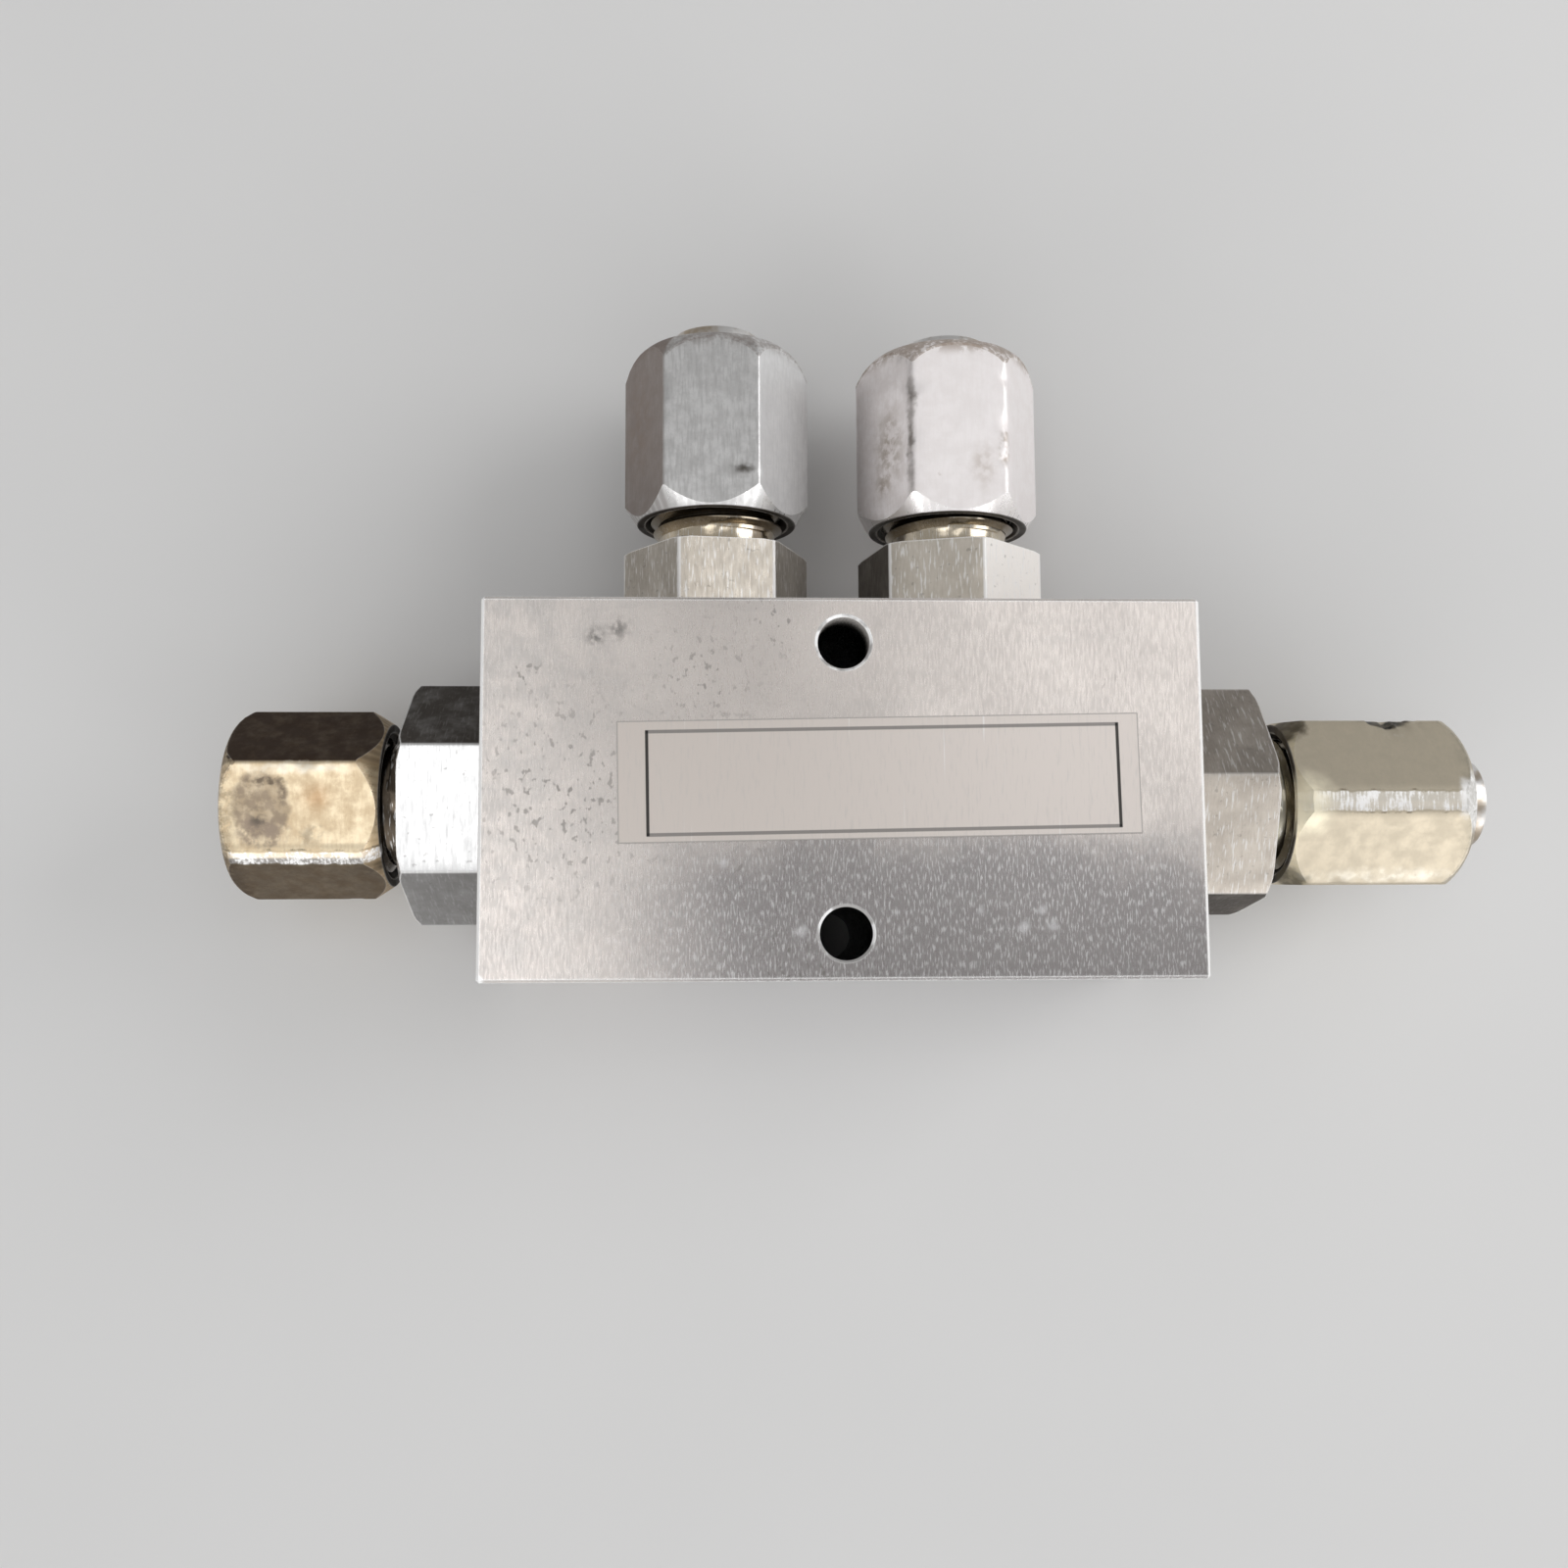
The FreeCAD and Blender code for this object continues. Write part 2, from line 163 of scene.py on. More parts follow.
# How soiled a flat is that the photograph doesn't show: 1 is all soil; on the seen flats a value above 0
# also paints shade, and one below 0 paints a highlight
UNSEEN_SOIL = 0.35

# Dents in the nuts' corners: corner number, height over the block, half length and depth
SIDE_ROWS = 44
DENTS = {
    "left_end": [(2, 18.0, 1.6, 0.10), (2, 12.4, 0.8, 0.08), (0, 15.0, 1.0, 0.10)],
    "right_end": [(0, 21.4, 1.2, 0.45), (0, 22.5, 0.9, 0.80), (0, 23.9, 0.8, 0.40),
                  (0, 25.6, 0.6, 0.15), (2, 17.0, 1.2, 0.12)],
    "left_branch": [(2, 14.6, 0.7, 0.06), (1, 23.0, 1.1, 0.10)],
    "right_branch": [(1, 24.0, 1.3, 0.22), (1, 18.6, 1.4, 0.10), (2, 25.0, 0.9, 0.15),
                     (2, 20.2, 1.5, 0.16), (2, 16.4, 1.0, 0.20)],
}


class Fitting:
    """One port's axis, read from the frame, and how its hexagons are turned, worn, soiled and painted
    with shade and highlights.
    """

    def __init__(self, name, stud_turn, nut_turn, stud_soil_and_shading, nut_soil_and_shading, nut_corner,
                 worn_corner=None, worn_depth=0.0):
        turning = next(joint for joint in frame["joints"] if joint["name"] == name + "_nut_turn")
        self.name = name
        self.foot = Vector(turning["pos_m"])
        self.out = Vector(turning["axis"])
        self.side = UP.cross(self.out)
        self.stud_turn = stud_turn
        self.nut_turn = nut_turn
        self.stud_soil_and_shading = stud_soil_and_shading
        self.nut_soil_and_shading = nut_soil_and_shading
        self.nut_corner = nut_corner
        self.worn_corner = worn_corner
        self.worn_depth = worn_depth
        self.at_end = name.endswith("_end")
        self.stud_across = END_HEX if self.at_end else BRANCH_HEX
        self.stud_length = END_HEX_LENGTH if self.at_end else BRANCH_HEX_LENGTH

    def place(self, radius, angle, height):
        """Point in metres from a radius and height in mm and an angle in radians."""
        across = self.side * math.cos(angle) + UP * math.sin(angle)
        return self.foot + (across * radius + self.out * height) * MM

    def reach(self, piece):
        """Lowest and highest height of one of this fitting's nodes over the block, in mm."""
        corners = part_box(self.name + "_" + piece)
        return sorted((corner - self.foot).dot(self.out) / MM for corner in corners)


# Soil and shading: a share for each seen flat, from the first one round; above 0 stain and painted
# shade, below 0 a painted highlight
FITTINGS = [
    Fitting("left_end", stud_turn=-6.6, nut_turn=-8.6,
            stud_soil_and_shading=(0.77, 0.0, 1.0), nut_soil_and_shading=(0.92, 0.0, 1.0),
            nut_corner=0.7, worn_corner=1, worn_depth=0.46),
    Fitting("right_end", stud_turn=21.5, nut_turn=33.3,
            stud_soil_and_shading=(0.62, 0.0, 0.96), nut_soil_and_shading=(0.51, 0.24, 0.3),
            nut_corner=0.7, worn_corner=1, worn_depth=0.63),
    Fitting("left_branch", stud_turn=7.3, nut_turn=-3.4,
            stud_soil_and_shading=(0.3, 0.0, 0.4), nut_soil_and_shading=(0.85, 0.05, -0.5), nut_corner=0.35),
    Fitting("right_branch", stud_turn=-15.9, nut_turn=1.7,
            stud_soil_and_shading=(0.9, 0.15, -1.0), nut_soil_and_shading=(-0.2, -0.65, -0.6), nut_corner=0.9),
]


def corner_radius(across):
    """Distance from a hexagon's middle to its sharp corners, from its width across the flats."""
    return across / math.sqrt(3)


def hexagon(across, turn, corner_round, worn_corner=None, worn_depth=0.0):
    """(angle, radius) round a hexagon with rounded corners, one of which may be worn flat."""
    apothem = across / 2
    sharp = apothem / math.cos(HALF_SIDE)
    worn = sharp - worn_depth
    centre = sharp - corner_round / math.sin(2 * HALF_SIDE)
    rounded_span = math.atan2(corner_round * math.sin(HALF_SIDE),
                              centre + corner_round * math.cos(HALF_SIDE))
    worn_span = math.atan((apothem / worn - math.cos(HALF_SIDE)) / math.sin(HALF_SIDE))
    spans = [worn_span if corner == worn_corner else rounded_span for corner in range(6)]
    points = []
    for corner, span in enumerate(spans):
        middle = math.radians(turn + 60 * corner)
        for k in range(CORNER_POINTS):
            away = span * (2 * k / (CORNER_POINTS - 1) - 1)
            if corner == worn_corner:
                radius = worn / math.cos(away)
            else:
                bulge = math.sqrt(corner_round ** 2 - (centre * math.sin(away)) ** 2)
                radius = centre * math.cos(away) + bulge
            points.append((middle + away, radius))
        end = 2 * HALF_SIDE - spans[(corner + 1) % 6]
        for k in range(1, FLAT_POINTS + 1):
            away = span + (end - span) * k / (FLAT_POINTS + 1)
            points.append((middle + away, apothem / math.cos(HALF_SIDE - away)))
    first_angle, first_radius = points[0]
    points.append((first_angle + math.tau, first_radius))
    return points


class Skin:
    """Closed surface of a piece round a fitting's axis, built up row by row."""

    def __init__(self, fitting, outline):
        self.fitting = fitting
        self.outline = outline
        self.rows = []

    def ring(self, radius, height):
        self.rows.append([(radius, angle, height) for angle, _ in self.outline])

    def edge(self, height_at, limit=math.inf):
        """Row along the hexagon, at the height that a function gives for each radius."""
        self.rows.append([(min(radius, limit), angle, height_at(min(radius, limit)))
                          for angle, radius in self.outline])

    def sides(self, low_at, high_at, corner_reach, dents):
        """Rows up the flats, cut back where a corner was dented."""
        turn = self.fitting.nut_turn
        for step in range(1, SIDE_ROWS):
            share = step / SIDE_ROWS
            row = []
            for angle, radius in self.outline:
                height = low_at(radius) * (1 - share) + high_at(radius) * share
                for corner, middle, half, depth in dents:
                    bite = depth * (1 - ((height - middle) / half) ** 2)
                    away = math.remainder(angle - math.radians(turn + 60 * corner), math.tau)
                    if bite > 0 and abs(away) < HALF_SIDE:
                        radius = min(radius, (corner_reach - bite) / math.cos(away))
                row.append((radius, angle, height))
            self.rows.append(row)

    def between(self, share, inner, height_at):
        """Row part of the way from the hexagon to an inner radius."""
        row = []
        for angle, radius in self.outline:
            near = radius + (inner - radius) * share
            row.append((near, angle, height_at(near)))
        self.rows.append(row)

    def thread(self, low, high, wall, slack=0.0, down=False):
        """Rows along a right-hand helix, with the crests and roots that wall(radius, height) leaves."""
        crest = TUBE_THREAD_RADIUS + slack
        root = crest - THREAD_DEPTH
        profile = ((CREST_HALF, crest), (0.5 - ROOT_HALF, root),
                   (0.5 + ROOT_HALF, root), (1 - CREST_HALF, crest))
        first_turn = math.floor(low / TUBE_THREAD_PITCH) - SPARE_TURNS
        last_turn = math.ceil(high / TUBE_THREAD_PITCH) + SPARE_TURNS
        rows = []
        for turn in range(first_turn, last_turn):
            for share, radius in profile:
                row = []
                for angle, _ in self.outline:
                    height = (turn + share + angle / math.tau) * TUBE_THREAD_PITCH
                    height = min(max(height, low), high)
                    row.append((wall(radius, height), angle, height))
                rows.append(row)
        self.rows += rows[::-1] if down else rows

    def build(self, name, material):
        mesh = bmesh.new()
        grid = [[mesh.verts.new(self.fitting.place(*point)) for point in row] for row in self.rows]
        for near, far in zip(grid, grid[1:] + grid[:1]):
            for k in range(len(near) - 1):
                mesh.faces.new((near[k], near[k + 1], far[k + 1], far[k]))
        bmesh.ops.remove_doubles(mesh, verts=mesh.verts, dist=WELD * MM)
        bmesh.ops.recalc_face_normals(mesh, faces=mesh.faces)
        return finished(name, mesh, material)


def finished(name, mesh, material):
    """Object from a bmesh, smooth except at its sharp edges."""
    data = bpy.data.meshes.new(name)
    mesh.to_mesh(data)
    mesh.free()
    data.shade_smooth()
    data.set_sharp_from_angle(angle=math.radians(SHARP_ANGLE))
    data.materials.append(material)
    piece = bpy.data.objects.new(name, data)
    bpy.context.scene.collection.objects.link(piece)
    return piece


def stud(fitting, material):
    """Stud body: block thread, hexagon, neck, threaded tube end and its bore."""
    at_end = fitting.at_end
    thread_radius = END_THREAD_RADIUS if at_end else BRANCH_THREAD_RADIUS
    thread_length = END_THREAD_LENGTH if at_end else BRANCH_THREAD_LENGTH
    bevel = END_HEX_BEVEL if at_end else BRANCH_HEX_BEVEL
    length = fitting.stud_length
    end = fitting.reach("stud_body")[1]
    groove_radius = thread_radius - SEAL_GROOVE_DEPTH
    bevel_start = corner_radius(fitting.stud_across) - BEVEL_SPREAD * bevel
    root = TUBE_THREAD_RADIUS - THREAD_DEPTH
    thread_start = length + NECK_LENGTH - (TUBE_THREAD_RADIUS - NECK_RADIUS) / 2
    socket = TUBE_RADIUS + RUNNING_GAP
    shoulder = end - CONE_LENGTH - SOCKET_LENGTH
    fillet_middle = ROUND_MIDDLE * NECK_FILLET

    def shoulder_height(radius):
        return length - max(0.0, radius - bevel_start) / BEVEL_SPREAD

    def tube_wall(radius, height):
        return min(radius, NECK_RADIUS + height - thread_start, root + end - height)

    skin = Skin(fitting, hexagon(fitting.stud_across, fitting.stud_turn, STUD_CORNER))
    skin.ring(OIL_BORE_RADIUS, -thread_length)
    skin.ring(thread_radius - THREAD_BEVEL, -thread_length)
    skin.ring(thread_radius, -thread_length + THREAD_BEVEL)
    skin.ring(thread_radius, -SEAL_GROOVE_LENGTH)
    skin.ring(groove_radius, -SEAL_GROOVE_LENGTH + SEAL_GROOVE_DEPTH / 2)
    skin.ring(groove_radius, 0)
    skin.edge(lambda radius: 0)
    skin.edge(shoulder_height)
    skin.edge(shoulder_height, bevel_start)
    skin.ring(NECK_RADIUS + NECK_FILLET, length)
    skin.ring(NECK_RADIUS + fillet_middle, length + fillet_middle)
    skin.ring(NECK_RADIUS, length + NECK_FILLET)
    skin.thread(thread_start, end, tube_wall)
    skin.ring(socket + CONE_WIDENING, end)
    skin.ring(socket, end - CONE_LENGTH)
    skin.ring(socket, shoulder)
    skin.ring(OIL_BORE_RADIUS, shoulder)
    node = fitting.name + "_stud_body"
    piece = skin.build(node + "_turned", material)
    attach(piece, "block")
    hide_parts(node)


def crown_arc(fitting):
    """A nut's bulged crown: its inner radius, its arc's radius, and where the arc's centre is."""
    short = fitting.name == "left_end"
    crown = LEFT_NUT_CROWN if short else LONG_NUT_CROWN
    face = LEFT_NUT_FACE_RADIUS if short else LONG_NUT_FACE_RADIUS
    top = fitting.reach("union_nut")[1]
    corner = corner_radius(NUT_HEX)
    chord = math.hypot(corner - face, crown)
    bend = (chord ** 2 / 4 + CROWN_BULGE ** 2) / (2 * CROWN_BULGE)
    inward = (bend - CROWN_BULGE) / chord
    bend_radius = (corner + face) / 2 - crown * inward
    bend_height = top - crown / 2 - (corner - face) * inward
    return face, bend, bend_radius, bend_height


def nut(fitting, material):
    """Union nut: hexagon between a skirt cone and a bulged crown, with its thread and seat inside."""
    face, bend, bend_radius, bend_height = crown_arc(fitting)
    foot, top = fitting.reach("union_nut")
    corner = corner_radius(NUT_HEX)
    rounded = corner - fitting.nut_corner * (1 / math.sin(2 * HALF_SIDE) - 1)
    passage = TUBE_RADIUS + RUNNING_GAP
    deep = foot + NUT_THREAD_DEPTH
    wide = TUBE_THREAD_RADIUS + THREAD_SLACK
    root = wide - THREAD_DEPTH

    def skirt_height(radius):
        return foot + NUT_SKIRT_BEVEL * (radius - NUT_SKIRT_RADIUS) / (corner - NUT_SKIRT_RADIUS)

    def crown_height(radius):
        return min(top, bend_height + math.sqrt(bend ** 2 - (radius - bend_radius) ** 2))

    def thread_wall(radius, height):
        return max(radius, wide + THREAD_BEVEL - (height - foot), wide - (deep - height), root)

    skin = Skin(fitting, hexagon(NUT_HEX, fitting.nut_turn, fitting.nut_corner,
                                 fitting.worn_corner, fitting.worn_depth))
    skin.ring(NUT_SKIRT_RADIUS, foot)
    skin.edge(skirt_height)
    skin.sides(skirt_height, crown_height, rounded, DENTS[fitting.name])
    skin.edge(crown_height)
    for step in range(1, CROWN_ROWS):
        skin.between(step / CROWN_ROWS, face, crown_height)
    skin.ring(face, top)
    skin.ring(passage + NUT_EDGE, top)
    skin.ring(passage, top - NUT_EDGE)
    skin.ring(passage, deep + wide - passage)
    skin.thread(foot, deep, thread_wall, THREAD_SLACK, down=True)
    node = fitting.name + "_union_nut"
    piece = skin.build(node + "_threaded", material)
    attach(piece, fitting.name + "_nut")
    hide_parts(node)


def plug(fitting, material):
    """Blanking plug: nose, cone, flange and a shank with a centre-drilled end."""
    nose, top = fitting.reach("blanking_plug")
    seat_cone = nose - PLUG_NOSE_GAP + SOCKET_LENGTH + CONE_LENGTH
    flange = seat_cone + PLUG_FLANGE_GAP
    seat = fitting.reach("union_nut")[0] + NUT_THREAD_DEPTH
    back = seat + TUBE_THREAD_RADIUS - PLUG_FLANGE_RADIUS
    cone_top = TUBE_RADIUS + CONE_WIDENING - RUNNING_GAP
    bevel_middle = ROUND_MIDDLE * PLUG_END_BEVEL
    skin = Skin(fitting, hexagon(2 * TUBE_RADIUS, 0, STUD_CORNER))
    skin.ring(0, nose)
    skin.ring(TUBE_RADIUS - PLUG_END_BEVEL, nose)
    skin.ring(TUBE_RADIUS, nose + PLUG_END_BEVEL)
    skin.ring(TUBE_RADIUS, seat_cone - CONE_LENGTH + RUNNING_GAP)
    skin.ring(cone_top, seat_cone)
    skin.ring(cone_top, flange)
    skin.ring(PLUG_FLANGE_RADIUS, flange)
    skin.ring(PLUG_FLANGE_RADIUS, back)
    skin.ring(TUBE_RADIUS, back + PLUG_FLANGE_RADIUS - TUBE_RADIUS)
    skin.ring(TUBE_RADIUS, top - PLUG_END_BEVEL)
    skin.ring(TUBE_RADIUS - bevel_middle, top - bevel_middle)
    skin.ring(TUBE_RADIUS - PLUG_END_BEVEL, top)
    skin.ring(PLUG_DIMPLE_RADIUS, top)
    skin.ring(0, top - PLUG_DIMPLE_DEPTH)
    node = fitting.name + "_blanking_plug"
    piece = skin.build(node + "_turned", material)
    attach(piece, fitting.name + "_plug")
    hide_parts(node)


def grey(value, warmth=0.0):
    """Neutral colour, or a warmer or cooler one."""
    return (value * (1 + warmth), value, value * (1 - warmth), 1.0)


# Colours: dirt and wear, with painted shade and highlights among them
# Near black painted shade on the left end nut's skirt at its foot
FOOT_SHADE_BLACK = (0.030, 0.022, 0.017, 1)
# Grime and painted shade on stud flats, and painted shade in the nuts' bores and on their feet
GRIME_AND_SHADE = (0.045, 0.038, 0.032, 1)
# Grime and painted shade on the stud threads under the nuts and on the left end stud's neck
THREAD_GRIME_AND_SHADE = (0.10, 0.08, 0.06, 1)
BURNT_BROWN = (0.14, 0.11, 0.08, 1)
RUST_BROWN = (0.26, 0.19, 0.12, 1)
OLD_OIL = (0.20, 0.17, 0.12, 1)
# Bright rubs, and a painted highlight on the right end nut's crown
WHITE_RUB_AND_HIGHLIGHT = (0.93, 0.92, 0.91, 1)
DRIED_DROP = (0.72, 0.71, 0.72, 1)

# Colours: plain metals
BLOCK_DUSKY = (0.60, 0.555, 0.525, 1)
BLOCK_PALE = (0.67, 0.62, 0.585, 1)
# Painted shade, a dark reflection, on the lower side of the block's wide face
BLOCK_LOW_SHADE = (0.26, 0.245, 0.25, 1)
BLOCK_SHADE = grey(0.45, 0.03)
PLATE_DUSKY = (0.64, 0.585, 0.545, 1)
PLATE_PALE = (0.76, 0.70, 0.66, 1)
# Painted highlight on stud flats
BAR_PAINTED_HIGHLIGHT = (0.98, 0.94, 0.90, 1)
PLUG_BROWN = (0.44, 0.37, 0.29, 1)

# Where the block's painted highlight lines along its ends start and are full, along X and along Z, and
# where its mounting holes' chamfers and the painted shade in their bores do, outside their walls
END_HIGHLIGHT_OVER = (35.62, 35.74)
END_HIGHLIGHT_DEEP = (28.25, 28.40)
HOLE_CHAMFER = (0.33, 0.26)
HOLE_BORE_SHADE = (0.03, 0.0)

# Marks on the block's wide face: place, radius, and how far they fade
DROPS = [(17.5, -13.9, 0.6, 0.3), (20.4, -13.8, 0.48, 0.3), (19.3, -12.2, 0.42, 0.3),
         (23.9, -3.2, 0.54, 0.3), (-4.5, -14.3, 0.54, 0.3), (13.3, -12.3, 0.36, 0.3),
         (-12.0, -7.6, 0.36, 0.3)]
SPECKLED = [(-28.0, -1.0, 8.0, 9.0), (-14.0, 11.0, 3.0, 7.0)]
SMUDGES = [(-24.6, 15.0, 0.7, 1.0), (-22.4, 15.8, 0.7, 1.2)]
NICKS = [(-36.0, -19.0, 0.7, 0.3)]

# Shaders: cosines just outside and inside a flat's end, cosines where an edge's glint starts and is
# full, how soft a line is, how much dulled metal still mirrors, and how much rougher soil is
FLAT_COSINES = (0.855, 0.877)
EDGE_COSINES = (0.99, 0.93)
EDGE_SAMPLES = 6
LINE_BLUR = 0.04
DULL_SPECULAR = 0.15
DULL_METALLIC = 0.05
SOIL_ROUGHNESS = 0.3


class Finish:
    """A material under construction, with short calls for the nodes that the finishes share."""

    def __init__(self, name, colour, metallic=1.0):
        self.material = bpy.data.materials.new(name)
        self.material.use_nodes = True
        self.tree = self.material.node_tree
        self.surface = self.tree.nodes["Principled BSDF"]
        self.surface.inputs["Metallic"].default_value = metallic
        self.colour = colour
        position = self.tree.nodes.new("ShaderNodeTexCoord").outputs["Object"]
        self.place = self.vector("SCALE", position, scale=1 / MM)

    def feed(self, socket, value):
        if isinstance(value, bpy.types.NodeSocket):
            self.tree.links.new(value, socket)
        else:
            socket.default_value = value

    def math(self, operation, *values):
        node = self.tree.nodes.new("ShaderNodeMath")
        node.operation = operation
        for socket, value in zip(node.inputs, values):
            self.feed(socket, value)
        return node.outputs[0]

    def less(self, value, other):
        return self.math("SUBTRACT", value, other)

    def unsigned(self, value):
        return self.math("ABSOLUTE", value)

    def product(self, total, *values):
        for value in values:
            total = self.math("MULTIPLY", total, value)
        return total

    def most(self, total, *values):
        """The greatest of some values."""
        for value in values:
            total = self.math("MAXIMUM", total, value)
        return total

    def vector(self, operation, first, second=None, scale=None):
        node = self.tree.nodes.new("ShaderNodeVectorMath")
        node.operation = operation
        self.feed(node.inputs[0], first)
        if second is not None:
            self.feed(node.inputs[1], second)
        if scale is not None:
            self.feed(node.inputs["Scale"], scale)
        return node.outputs["Value" if operation in ("DOT_PRODUCT", "LENGTH") else "Vector"]

    def noise(self, scale, stretch=(1, 1, 1), detail=2.0, roughness=0.5):
        """Noise from 0 to 1, with some number of features in a millimetre."""
        node = self.tree.nodes.new("ShaderNodeTexNoise")
        node.inputs["Scale"].default_value = scale
        node.inputs["Detail"].default_value = detail
        node.inputs["Roughness"].default_value = roughness
        self.feed(node.inputs["Vector"], self.vector("MULTIPLY", self.place, stretch))
        return node.outputs["Fac"]

    def ramp(self, value, low, high, start=0.0, end=1.0):
        """Smooth step from start to end as a value goes from low to high."""
        node = self.tree.nodes.new("ShaderNodeMapRange")
        node.interpolation_type = "SMOOTHSTEP"
        for socket, number in zip(node.inputs, (value, low, high, start, end)):
            self.feed(socket, number)
        return node.outputs["Result"]

    def mix(self, share, first, second):
        """Blend of two colours."""
        node = self.tree.nodes.new("ShaderNodeMix")
        node.data_type = "RGBA"
        self.feed(node.inputs["Factor"], share)
        self.feed(node.inputs["A"], first)
        self.feed(node.inputs["B"], second)
        return node.outputs["Result"]

    def paint(self, colour, *shares):
        """Cover what is there with a colour, as far as the product of some shares says."""
        self.colour = self.mix(self.product(*shares), self.colour, colour)

    def ragged(self, scale, reach):
        """The place in mm, pushed about by noise, to give what is measured from it a ragged outline."""
        node = self.tree.nodes.new("ShaderNodeTexNoise")
        node.inputs["Scale"].default_value = scale
        node.inputs["Detail"].default_value = 3.0
        self.tree.links.new(self.place, node.inputs["Vector"])
        push = self.vector("SUBTRACT", node.outputs["Color"], (0.5, 0.5, 0.5))
        return self.vector("ADD", self.place, self.vector("SCALE", push, scale=reach))

    def spot(self, middle, radius, edge, squeeze=(1, 1, 1), place=None):
        """1 in a ball round a place in mm, squeezed along some axes, falling to 0 across its edge."""
        away = self.vector("SUBTRACT", place or self.place, middle)
        distance = self.vector("LENGTH", self.vector("MULTIPLY", away, squeeze))
        return self.ramp(distance, radius + edge, radius - edge)

    def patches(self, marks, place=None):
        """1 on any of some marks on the block's wide face."""
        return self.most(*(self.spot((x, y, BLOCK_TOP), radius, edge, place=place)
                           for x, y, radius, edge in marks))

    def parts(self):
        """The place's three parts, in mm."""
        node = self.tree.nodes.new("ShaderNodeSeparateXYZ")
        self.tree.links.new(self.place, node.inputs[0])
        return node.outputs

    def tilted(self, middle, tilt):
        """Distances in mm from a place, along and across a direction tilted from X by some degrees."""
        from_middle = self.vector("SUBTRACT", self.place, middle)
        along = Vector((math.cos(math.radians(tilt)), math.sin(math.radians(tilt)), 0))
        return [self.unsigned(self.vector("DOT_PRODUCT", from_middle, way))
                for way in (along, UP.cross(along))]

    def line(self, distance, place, half_width):
        """1 on a line at some distance, with a soft edge."""
        away = self.unsigned(self.less(distance, place))
        return self.ramp(away, half_width + LINE_BLUR, half_width - LINE_BLUR)

    def edge(self, width):
        """1 along the piece's sharp edges, falling to 0 within a width in mm."""
        rounded = self.tree.nodes.new("ShaderNodeBevel")
        rounded.samples = EDGE_SAMPLES
        rounded.inputs["Radius"].default_value = width * MM
        true_normal = self.tree.nodes.new("ShaderNodeNewGeometry").outputs["Normal"]
        return self.ramp(self.vector("DOT_PRODUCT", rounded.outputs["Normal"], true_normal),
                         *EDGE_COSINES)

    def axis(self, fitting):
        """Height over the block and distance from a fitting's axis in mm, and angle round it."""
        from_foot = self.vector("SUBTRACT", self.place, fitting.foot / MM)
        height = self.vector("DOT_PRODUCT", from_foot, fitting.out)
        across = self.vector("DOT_PRODUCT", from_foot, fitting.side)
        upward = self.vector("DOT_PRODUCT", from_foot, UP)
        squares = self.math("MULTIPLY_ADD", across, across, self.product(upward, upward))
        return height, self.math("SQRT", squares), self.math("ARCTAN2", upward, across)

    def flats(self, angle, turn, values):
        """A value for each of the first flats round a hexagon, and that of unseen flats for the rest."""
        values = (*values, *[UNSEEN_SOIL] * (6 - len(values)))
        total = 0.0
        for k, value in enumerate(values):
            away = self.less(angle, math.radians(turn + 30 + 60 * k))
            on_flat = self.ramp(self.math("COSINE", away), *FLAT_COSINES)
            total = self.math("MULTIPLY_ADD", on_flat, value, total)
        return total

    def soil_and_shading(self, share, stain_and_shade, painted_highlight):
        """Stain and painted shade where the share is above 0, and a painted highlight where it is below
        0.
        """
        self.paint(stain_and_shade, self.most(share, 0.0))
        self.paint(painted_highlight, self.most(self.product(share, -1.0), 0.0))

    def stain_and_shade(self, marks):
        """Stains and bright rubs, with painted shade and a painted highlight among them, each ragged and
        broken up.
        """
        place = self.ragged(0.7, 1.6)
        texture = self.noise(0.9, detail=4.0, roughness=0.55)
        for middle, radius, colour, edge, least, most, squeeze in marks:
            share = self.spot(middle, radius, edge, squeeze, place)
            self.paint(colour, share, self.ramp(texture, 0.38, 0.60, least, most))

    def dull(self, share, clean):
        """Metal that shines less where a share of it is soiled, worn rough, or carries painted shade and
        highlights.
        """
        self.surface.inputs["Specular IOR Level"].default_value = DULL_SPECULAR
        self.feed(self.surface.inputs["Metallic"], self.ramp(share, 0.0, 1.0, clean, DULL_METALLIC))

    def bump(self, height, depth):
        """Bump whose height runs from 0 to 1 over a depth in mm."""
        node = self.tree.nodes.new("ShaderNodeBump")
        node.inputs["Strength"].default_value = 1.0
        node.inputs["Distance"].default_value = depth * MM
        self.feed(node.inputs["Height"], height)
        self.tree.links.new(node.outputs["Normal"], self.surface.inputs["Normal"])

    def close(self, roughness, soil_and_shading=None):
        """The material, with a roughness that goes up where there is soil and painted shade."""
        if soil_and_shading is not None:
            roughness = self.math("MULTIPLY_ADD", self.most(soil_and_shading, 0.0), SOIL_ROUGHNESS, roughness)
        self.feed(self.surface.inputs["Base Color"], self.colour)
        self.feed(self.surface.inputs["Roughness"], roughness)
        return self.material


def block_finish():
    """Satin plated steel: upright grain, short bright scratches, dirt, worn bright edges, painted shade
    on the lower side and in the mounting bores, and painted highlights along the ends and chamfers.
    """
    finish = Finish("plated_block", BLOCK_DUSKY)
    grain = finish.noise(5.5, (1.0, 0.14, 0.3), detail=3.0, roughness=0.65)
    glints = finish.noise(6.5, (1.0, 0.18, 1.0), detail=2.0)
    block_plating(finish, grain, glints)
    block_dirt(finish)
    edge = block_edges(finish)
    holes = block_holes(finish)
    finish.dull(finish.most(finish.product(edge, 0.85), holes), 1.0)
    finish.bump(finish.math("ADD", grain, finish.product(glints, 0.3)), 0.0026)
    roughness = finish.ramp(grain, 0.3, 0.7, 0.25, 0.33)
    return finish.close(finish.less(roughness, finish.product(edge, 0.12)))


